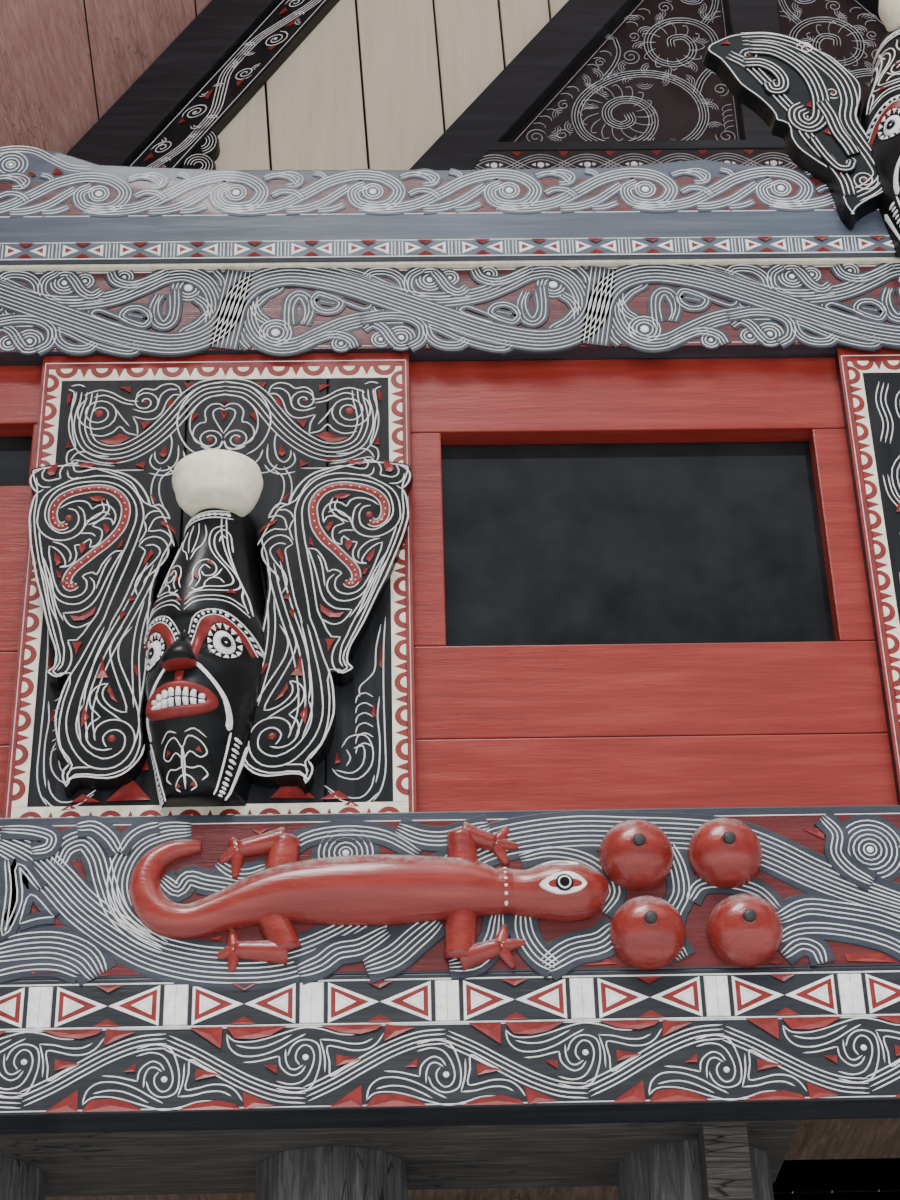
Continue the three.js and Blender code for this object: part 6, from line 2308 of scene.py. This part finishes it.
def carve_triangle():
    # The white lines of the gable triangle are drawn grey: painted shade.
    carving = Carving(front_face(TRI_FACE))
    top = TRI_APEX - (TRI_POST + TRI_BAR) * TRI_SLOPE
    for side in (-1, 1):
        field = [(side * (TRI_POST + 2), FIELD_FOOT), (side * (triangle_edge(FIELD_FOOT) - 3), FIELD_FOOT),
                 (side * (TRI_POST + 2), top - 6)]
        carving.field(field, 1.0, MAROON, 0.0, 0.4)
        rim = [(side * 84, 5408), (side * (triangle_edge(5408) - 16), 5408), (side * 84, top - 26),
               (side * 84, 5408)]
        for start, end in zip(rim, rim[1:]):
            carving.stroke(straight(start, end, 24), 2.6, 1.5, GREY_AND_SHADED_WHITE, 1.0, False)
        for guide, count, gap in GABLE_STREAMS:
            middle = smooth([(side * u, v) for u, v in guide], 4)
            carving.stroke(middle, (count - 1) * gap + 11, 0.8, BLACK_INK, 0.9, False)
            for off in spread(count, gap):
                carving.stroke(shifted(middle, off), 3.2, 1.3, GREY_AND_SHADED_WHITE, 1.7)
        for u, v, start, end, turns, first in GABLE_COILS:
            coil = [(side * a, b) for a, b in spiral(u, v, start, end, turns, first, 14)]
            carving.stroke(coil, 3.2, 1.8, GREY_AND_SHADED_WHITE, 1.0)
        for u, v, inner, outer, leaves in LEAF_CENTRES:
            for k in range(leaves):
                angle = math.tau * k / leaves
                bend = ((inner * 0.62, 0.34), (inner, 0.2), (outer * 0.97, 0.02), (outer * 0.9, -0.1))
                leaf = [(side * (u + radius * math.cos(angle + turn)), v + radius * math.sin(angle + turn))
                        for radius, turn in bend]
                carving.stroke(smooth(leaf, 3), 3.0, 1.6, GREY_AND_SHADED_WHITE, 1.0)
        for index, (u, v) in enumerate(GABLE_HOOKS):
            turn = math.tau * index * HOOK_TURN
            for radius in (10, 18, 26):
                hook = [(side * a, b) for a, b in arc(u, v, radius, turn, 0.42, 7)]
                carving.stroke(hook, 3.0, 1.6, GREY_AND_SHADED_WHITE, 1.0)
        for v in POST_LEAVES:
            carving.stroke(smooth([(side * 92, v + 10), (side * 110, v + 6), (side * 122, v - 8),
                                   (side * 120, v - 18)], 3),
                           3.0, 1.6, GREY_AND_SHADED_WHITE, 1.0)
        for v in EDGE_LEAVES:
            u = triangle_edge(v) - 26
            carving.stroke(smooth([(side * u, v + 4), (side * (u - 18), v + 8), (side * (u - 34), v - 2),
                                   (side * (u - 36), v - 14)], 3), 3.0, 1.6, GREY_AND_SHADED_WHITE, 1.0)
    carving.piece("gable_triangle_carving")


STRUT_FACE = -2804.0
STRUT_FOOT = 5180.0
STRUT_TOP = 9150.0
STRUT_HALF = 74.0
STRUT_IN = EDGE_WIDTH + 4.0 + STRUT_HALF
STRUT_STEP = 300.0
STRUT_WAVE = [(-40, 0), (-36, 70), (0, 150), (36, 230), (40, 300)]
STRUT_COILS = [(20, 70, 4, 34, 2.2, 30), (-22, 228, 3, 28, 2.0, 200)]
STRUT_HOOKS = [
    # across, up, where the hook starts round its middle
    (-44, 40, 0.4), (48, 150, 2.6), (-46, 250, 5.2), (44, 262, 1.4), (-20, 20, 3.4), (22, 170, 0.2),
]
STRUT_CHIPS = [[(36, 130), (16, 118), (30, 168)], [(-38, 170), (-20, 190), (-40, 206)],
               [(40, 20), (22, 30), (42, 44)]]
KNOBS_UP = 5420
KNOB_OUT = -8
KNOB_SQUASH = 0.95


def make_strut(name, side):
    """A carved board beside the gable's black edge, with two scroll knobs at its foot."""
    heights = [STRUT_FOOT + (STRUT_TOP - STRUT_FOOT) * k / 40 for k in range(41)]
    middles = [underside_x(z) - STRUT_IN for z in heights]
    pairs = [(x, z) for x, z in zip(middles, heights) if x > 240]

    def middle_at(z):
        for (x0, z0), (x1, z1) in zip(pairs, pairs[1:]):
            if z0 <= z <= z1:
                return x0 + (x1 - x0) * (z - z0) / (z1 - z0)
        return pairs[-1][0]

    work = bmesh.new()
    rows = []
    for x, z in pairs:
        corners = [(-STRUT_HALF, -2751.0), (-STRUT_HALF, STRUT_FACE + 6), (-STRUT_HALF + 6, STRUT_FACE),
                   (STRUT_HALF - 6, STRUT_FACE), (STRUT_HALF, STRUT_FACE + 6), (STRUT_HALF, -2751.0)]
        rows.append([(side * (x + off), y, z) for off, y in corners])
    skin(work, rows)
    finish_mesh(f"{name}_board", work, [BLACK_Z])

    def place(u, v, lift):
        return side * (middle_at(v) - u), STRUT_FACE - lift, v

    carving = Carving(place, side < 0)
    top = pairs[-1][1] - 20
    for off in (-65, 65):
        line = [(off, STRUT_FOOT + (top - STRUT_FOOT) * k / 60) for k in range(61)]
        carving.stroke(line, 3.6, 1.6, WHITE, 0.0, False)
    count = int((top - STRUT_FOOT - 40) // STRUT_STEP)
    for k in range(count):
        v = STRUT_FOOT + 20 + STRUT_STEP * k
        turn = 1 if k % 2 == 0 else -1
        wave = smooth([(turn * du, v + dv) for du, dv in STRUT_WAVE], 4)
        for off in (-14, -5, 4, 13):
            carving.stroke(shifted(wave, off), 4.0, 1.5, WHITE)
        for du, dv, start, end, turns, first in STRUT_COILS:
            coil = spiral(0, 0, start, end, turns * turn, first, 12)
            carving.stroke([(turn * (du + a), v + dv + b) for a, b in coil], 4.0, 1.5)
        carving.dot(turn * 20, v + 70, 4, 2.2, WHITE)
        for du, dv, first in STRUT_HOOKS:
            for radius in (9, 17):
                hook = arc(du, v + dv, radius, first, 0.5, 6)
                carving.stroke([(turn * a, b) for a, b in hook], 3.6, 1.5)
        for chip in STRUT_CHIPS:
            carving.hollow([(turn * du, v + dv) for du, dv in chip])
    carving.piece(f"{name}_carving")
    knobs_at = side * (middle_at(KNOBS_UP) - STRUT_HALF - 26)
    knobs = Carving(front_face(STRUT_FACE + 12, knobs_at, side), side < 0)
    for v, radius in ((5462, 62), (5366, 54)):
        rim = [(-(KNOB_OUT + a * KNOB_SQUASH), v + b) for a, b in ellipse(0, 0, radius, radius)][::-1]
        for thick, base, bevel in ((30, -40, 5), (12, -10, 4)):
            knobs.field(rim, thick, BLACK_INK, base, bevel)
        for inner in (10, 20, 30, 40):
            if inner < radius - 10:
                curl = arc(0, 0, radius - inner, -6 * math.tau / 28, math.tau / 28, 21)
                knobs.stroke([(-(KNOB_OUT + a * KNOB_SQUASH), v + b) for a, b in curl], 3.4, 1.5, WHITE, 2.0)
    knobs.piece(f"{name}_knobs")


def make_gable():
    gable_wall("front_gable_boards", "front_gable_wall", -1)
    gable_wall("back_gable_boards", "back_gable_wall", 1)
    carve_eye_band()
    carve_triangle()
    for name, side in (("strut_left", -1), ("strut_right", 1)):
        make_strut(name, side)


# The frame under the house: hewn logs on stones, with ties through them

POST_X = (590.0, 1258.0, 1926.0, 2560.0)
POST_ROWS = (-3730.0, -1243.0, 1243.0, 3730.0)
POST_R = (165.0, 148.0)
POST_SIDES = 10
POST_FOOT, POST_HEAD = 70.0, 2029.3
STONE_R = 240.0
TIE = (850.0, 1060.0)
TIE_HALF = 32.0
TIE_PAST = 190.0


def hewn_log(work, x, y, maker):
    """A log cut to flats with an axe: bruised faces, and a few long cracks that open and close."""
    sides, rings = 44, 26
    cracks = [(maker.uniform(0, math.tau), maker.uniform(0.1, 0.5),
               maker.uniform(0.6, 1.0)) for _ in range(4)]
    seed = Vector((x * 0.013, y * 0.017, 3.0))
    flat = math.tau / POST_SIDES
    rows = []
    for ring in range(rings + 1):
        part = ring / rings
        z = POST_FOOT + (POST_HEAD - POST_FOOT) * part
        whole = POST_R[0] + (POST_R[1] - POST_R[0]) * part
        row = []
        for side in range(sides):
            angle = math.tau * side / sides
            inner = math.cos(flat / 2) / math.cos((angle + flat / 2) % flat - flat / 2)
            radius = whole * min(inner, 0.985) - 2
            at = Vector((math.cos(angle) * 1.5, math.sin(angle) * 1.5, z * 0.004)) + seed
            radius -= 5.0 * abs(noise.noise(at * 1.3)) + 3.0 * abs(noise.noise(at * 4.1))
            for crack, low, high in cracks:
                off = abs((angle - crack + 0.12 * math.sin(z * 0.004) + math.pi) % math.tau - math.pi)
                if low < part < high and off < 0.09:
                    radius -= 13.0 * (1 - off / 0.09) * math.sin(math.pi * (part - low) / (high - low)) ** 0.4
            row.append((x + radius * math.cos(angle), y + radius * math.sin(angle), z))
        rows.append(row)
    skin(work, rows)


def foot_stone(work, x, y, maker):
    """A river stone with a flattened top."""
    sides = 26
    profile = [(0.0, 0.90), (12.0, 0.97), (45.0, 0.985), (85.0, 0.95), (118.0, 0.86), (134.0, 0.74),
               (139.0, 0.6)]
    seed = Vector((x * 0.01, y * 0.01, maker.uniform(0, 9)))
    stretch = maker.uniform(0.88, 1.0)
    rows = []
    for z, part in profile:
        row = []
        for side in range(sides):
            angle = math.tau * side / sides
            at = Vector((math.cos(angle), math.sin(angle), z * 0.006)) + seed
            worn = 1 - 0.10 * abs(noise.noise(at * 1.6)) - 0.03 * abs(noise.noise(at * 6))
            radius = STONE_R * 0.97 * part * worn
            row.append((x + radius * math.cos(angle), y + radius * math.sin(angle) * stretch, z))
        rows.append(row)
    skin(work, rows, 2)


def tie_board(work, x0, x1, y):
    """A thick plank through the logs, its edges worn uneven."""
    rows = []
    steps = max(int((x1 - x0) / 90), 8)
    for step in range(steps + 1):
        x = x0 + (x1 - x0) * step / steps
        low = TIE[0] + 6 * abs(noise.noise(Vector((x * 0.004, y, 1.0))))
        high = TIE[1] - 8 * abs(noise.noise(Vector((x * 0.005, y, 5.0))))
        half = TIE_HALF - 1 - 3 * abs(noise.noise(Vector((x * 0.006, y, 9.0))))
        edge = 7
        rows.append([(x, y - half + edge, low), (x, y + half - edge, low), (x, y + half, low + edge),
                     (x, y + half, high - edge), (x, y + half - edge, high), (x, y - half + edge, high),
                     (x, y - half, high - edge), (x, y - half, low + edge)])
    skin(work, rows, 1)


def post_group(name, node, xs, y, reach):
    work = bmesh.new()
    maker = random.Random(int(abs(y)) + len(name))
    for x in xs:
        hewn_log(work, x, y, maker)
        foot_stone(work, x, y, maker)
    tie_board(work, *reach, y)
    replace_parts(finish_mesh(name, work, [HEWN_Z, HEWN_X, STONE]), node)


def make_posts():
    for name, sign in (("left", -1), ("right", 1)):
        reach = sorted((sign * (POST_X[0] - TIE_PAST + 1), sign * (POST_X[-1] + TIE_PAST - 1)))
        post_group(f"hewn_front_posts_{name}", f"front_posts_{name}", [sign * x for x in POST_X],
                   POST_ROWS[0], reach)
    across = [-x for x in POST_X[::-1]] + list(POST_X)
    end = POST_X[-1] + TIE_PAST - 1
    for row, y in enumerate(POST_ROWS[1:], 2):
        post_group(f"hewn_post_row_{row}", f"post_row_{row}", across, y, (-end, end))


# The roof: thatch laid in courses, lining boards under its overhangs, ridge roll and barge boards

COURSES = 30
COURSE_LAP = 1.45
COURSE_PARTS = 84
BODY_PARTS, BODY_UPS = 28, 10
THATCH_DEPTH = 66.0
RIDGE_ABOVE, RIDGE_BELOW = 90.0, 230.0
BARGE_OUT = 75.0
BARGE_HIGH, BARGE_LOW = 60.0, -300.0
LINING_BOARDS = 13
LINING_DEPTH = (ROOF_THICK + 1.0, ROOF_THICK + 13.0)


def make_thatch(name, node, sign):
    """A smooth body under thin overlapping courses with ragged lower edges."""
    work = bmesh.new()
    maker = random.Random(11 + sign)
    rows = []
    ups = [0.004 + 0.995 * k / BODY_UPS for k in range(BODY_UPS + 1)]
    for step in range(BODY_PARTS + 1):
        along = (-1 + 2 * step / BODY_PARTS) * 0.999
        top = [roof_point(sign, along, up, THATCH_DEPTH - 4) for up in ups]
        rows.append(top + [roof_point(sign, along, up, ROOF_THICK) for up in ups[::-1]])
    skin(work, rows)
    for course in range(COURSES):
        low_up = course / COURSES
        high_up = min(low_up + COURSE_LAP / COURSES, 0.9995)
        rows = []
        for part in range(COURSE_PARTS + 1):
            along = (-1 + 2 * part / COURSE_PARTS) * 0.9995
            ragged = maker.uniform(-0.0035, 0.0035)
            ragged += 0.003 * noise.noise(Vector((along * 9, course * 3.1, sign)))
            low = max(low_up + ragged, 0.0005)
            thick = THATCH_DEPTH + maker.uniform(-14, 0)
            lift = maker.uniform(1.0, 9.0)
            rows.append([roof_point(sign, along, low, lift),
                         roof_point(sign, along, low + (high_up - low) * 0.35, lift * 0.4 + 13),
                         roof_point(sign, along, high_up, THATCH_DEPTH - 16),
                         roof_point(sign, along, high_up, THATCH_DEPTH - 2),
                         roof_point(sign, along, low + 0.0022, thick)])
        skin(work, rows)
    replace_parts(finish_mesh(name, work, [THATCH]), node)


def make_lining(name, sign, way):
    """Boards under the thatch between the gable and the overhanging end."""
    work = bmesh.new()
    shallow, deep = LINING_DEPTH
    for index in range(LINING_BOARDS):
        low_up = 0.015 + 0.97 * index / LINING_BOARDS + 0.0006
        high_up = 0.015 + 0.97 * (index + 1) / LINING_BOARDS - 0.0006
        rows = []
        for step in range(9):
            row = []
            for up, depth in ((low_up, shallow), (high_up, shallow), (high_up, deep), (low_up, deep)):
                gable = (GABLE_Y + 4) / (EAVE_END_Y + (RIDGE_END_Y - EAVE_END_Y) * up)
                along = way * (gable + (0.998 - gable) * step / 8)
                row.append(roof_point(sign, along, up, depth))
            rows.append(row)
        skin(work, rows)
    finish_mesh(name, work, [BROWN_Y])


def make_ridge():
    """A round roll of thatch along the ridge, bound at even steps."""
    work = bmesh.new()
    half = RIDGE_X - 5
    profile = [(-half + 2, -RIDGE_BELOW), (half - 2, -RIDGE_BELOW), (half, 0.0), (half * 0.93, 38.0),
               (half * 0.72, 66.0), (half * 0.40, 84.0), (0.0, RIDGE_ABOVE), (-half * 0.40, 84.0),
               (-half * 0.72, 66.0), (-half * 0.93, 38.0), (-half, 0.0)]
    steps = 288
    rows = []
    for step in range(steps + 1):
        along = -1 + 2 * step / steps
        base = roof_point(1, along, 1.0)
        y = base.y + along * BARGE_OUT
        bound = step % 8 in (0, 1)
        ease = 1.0 if bound else 0.93 - 0.02 * noise.noise(Vector((step * 0.7, 1.0, 2.0)))
        rows.append([(x * ease, y, base.z + (up * ease if up > 0 else up)) for x, up in profile])
    skin(work, rows)
    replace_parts(finish_mesh("ridge_roll", work, [THATCH]), "ridge_beam")


BARGE_STEP = 420.0
BARGE_WAVE = [(0, 70), (105, 30), (210, -70), (315, -30), (420, 70)]
BARGE_CHIPS = [[(30, 120), (90, 90), (150, 122)], [(210, -128), (270, -98), (330, -128)],
               [(6, -10), (50, -4), (22, -60)]]


def make_barge(name, node, sign, way):
    """A black board at the roof's end with a vine of three lines between two borders."""
    smoothed_copy(node, f"{name}_board", 0.006, BLACK)
    length = (roof_point(1, 1, 1) - roof_point(1, 1, 0)).length

    def place(u, v, lift):
        point = roof_point(sign, way, u / length)
        return point.x, point.y + way * (BARGE_OUT + lift), point.z + v

    carving = Carving(place, sign * way > 0)
    steps = 90
    for v in (BARGE_HIGH - 24, BARGE_LOW + 24):
        carving.stroke([(20 + (length - 40) * k / steps, v) for k in range(steps + 1)], 7.0, 2.0, WHITE, 0.0,
                       False)
    count = int((length - 60) // BARGE_STEP)
    middle = (BARGE_HIGH + BARGE_LOW) / 2
    for k in range(count):
        u = 30 + k * BARGE_STEP
        wave = smooth([(u + du, middle + dv) for du, dv in BARGE_WAVE], 4)
        for off in (-16, 0, 16):
            carving.stroke(shifted(wave, off), 6.0, 1.8, WHITE)
        for du, dv, turn in ((120, -62, 1), (325, 62, -1)):
            coil = spiral(u + du, middle + dv, 7, 44, 1.7 * turn, 90 * turn, 12)
            carving.stroke(coil, 6.0, 1.8, WHITE)
            carving.dot(u + du, middle + dv, 7, 2.6, WHITE)
        for chip in BARGE_CHIPS:
            carving.hollow([(u + du, middle + dv) for du, dv in chip])
    carving.piece(f"{name}_carving")


def make_roof():
    for name, sign in (("left", -1), ("right", 1)):
        make_thatch(f"thatch_{name}", f"roof_{name}", sign)
        for end, way in (("front", -1), ("back", 1)):
            make_lining(f"{end}_lining_{name}", sign, way)
            make_barge(f"{end}_barge_{name}", f"{end}_barge_board_{name}", sign, way)
    make_ridge()


set_camera()
set_light()
make_floor()
dress_boards()
dress_glass()
make_bands()
make_walls()
make_cream_strip()
make_mask_panels()
make_centre_panel()
make_reliefs()
make_gable()
make_posts()
make_roof()
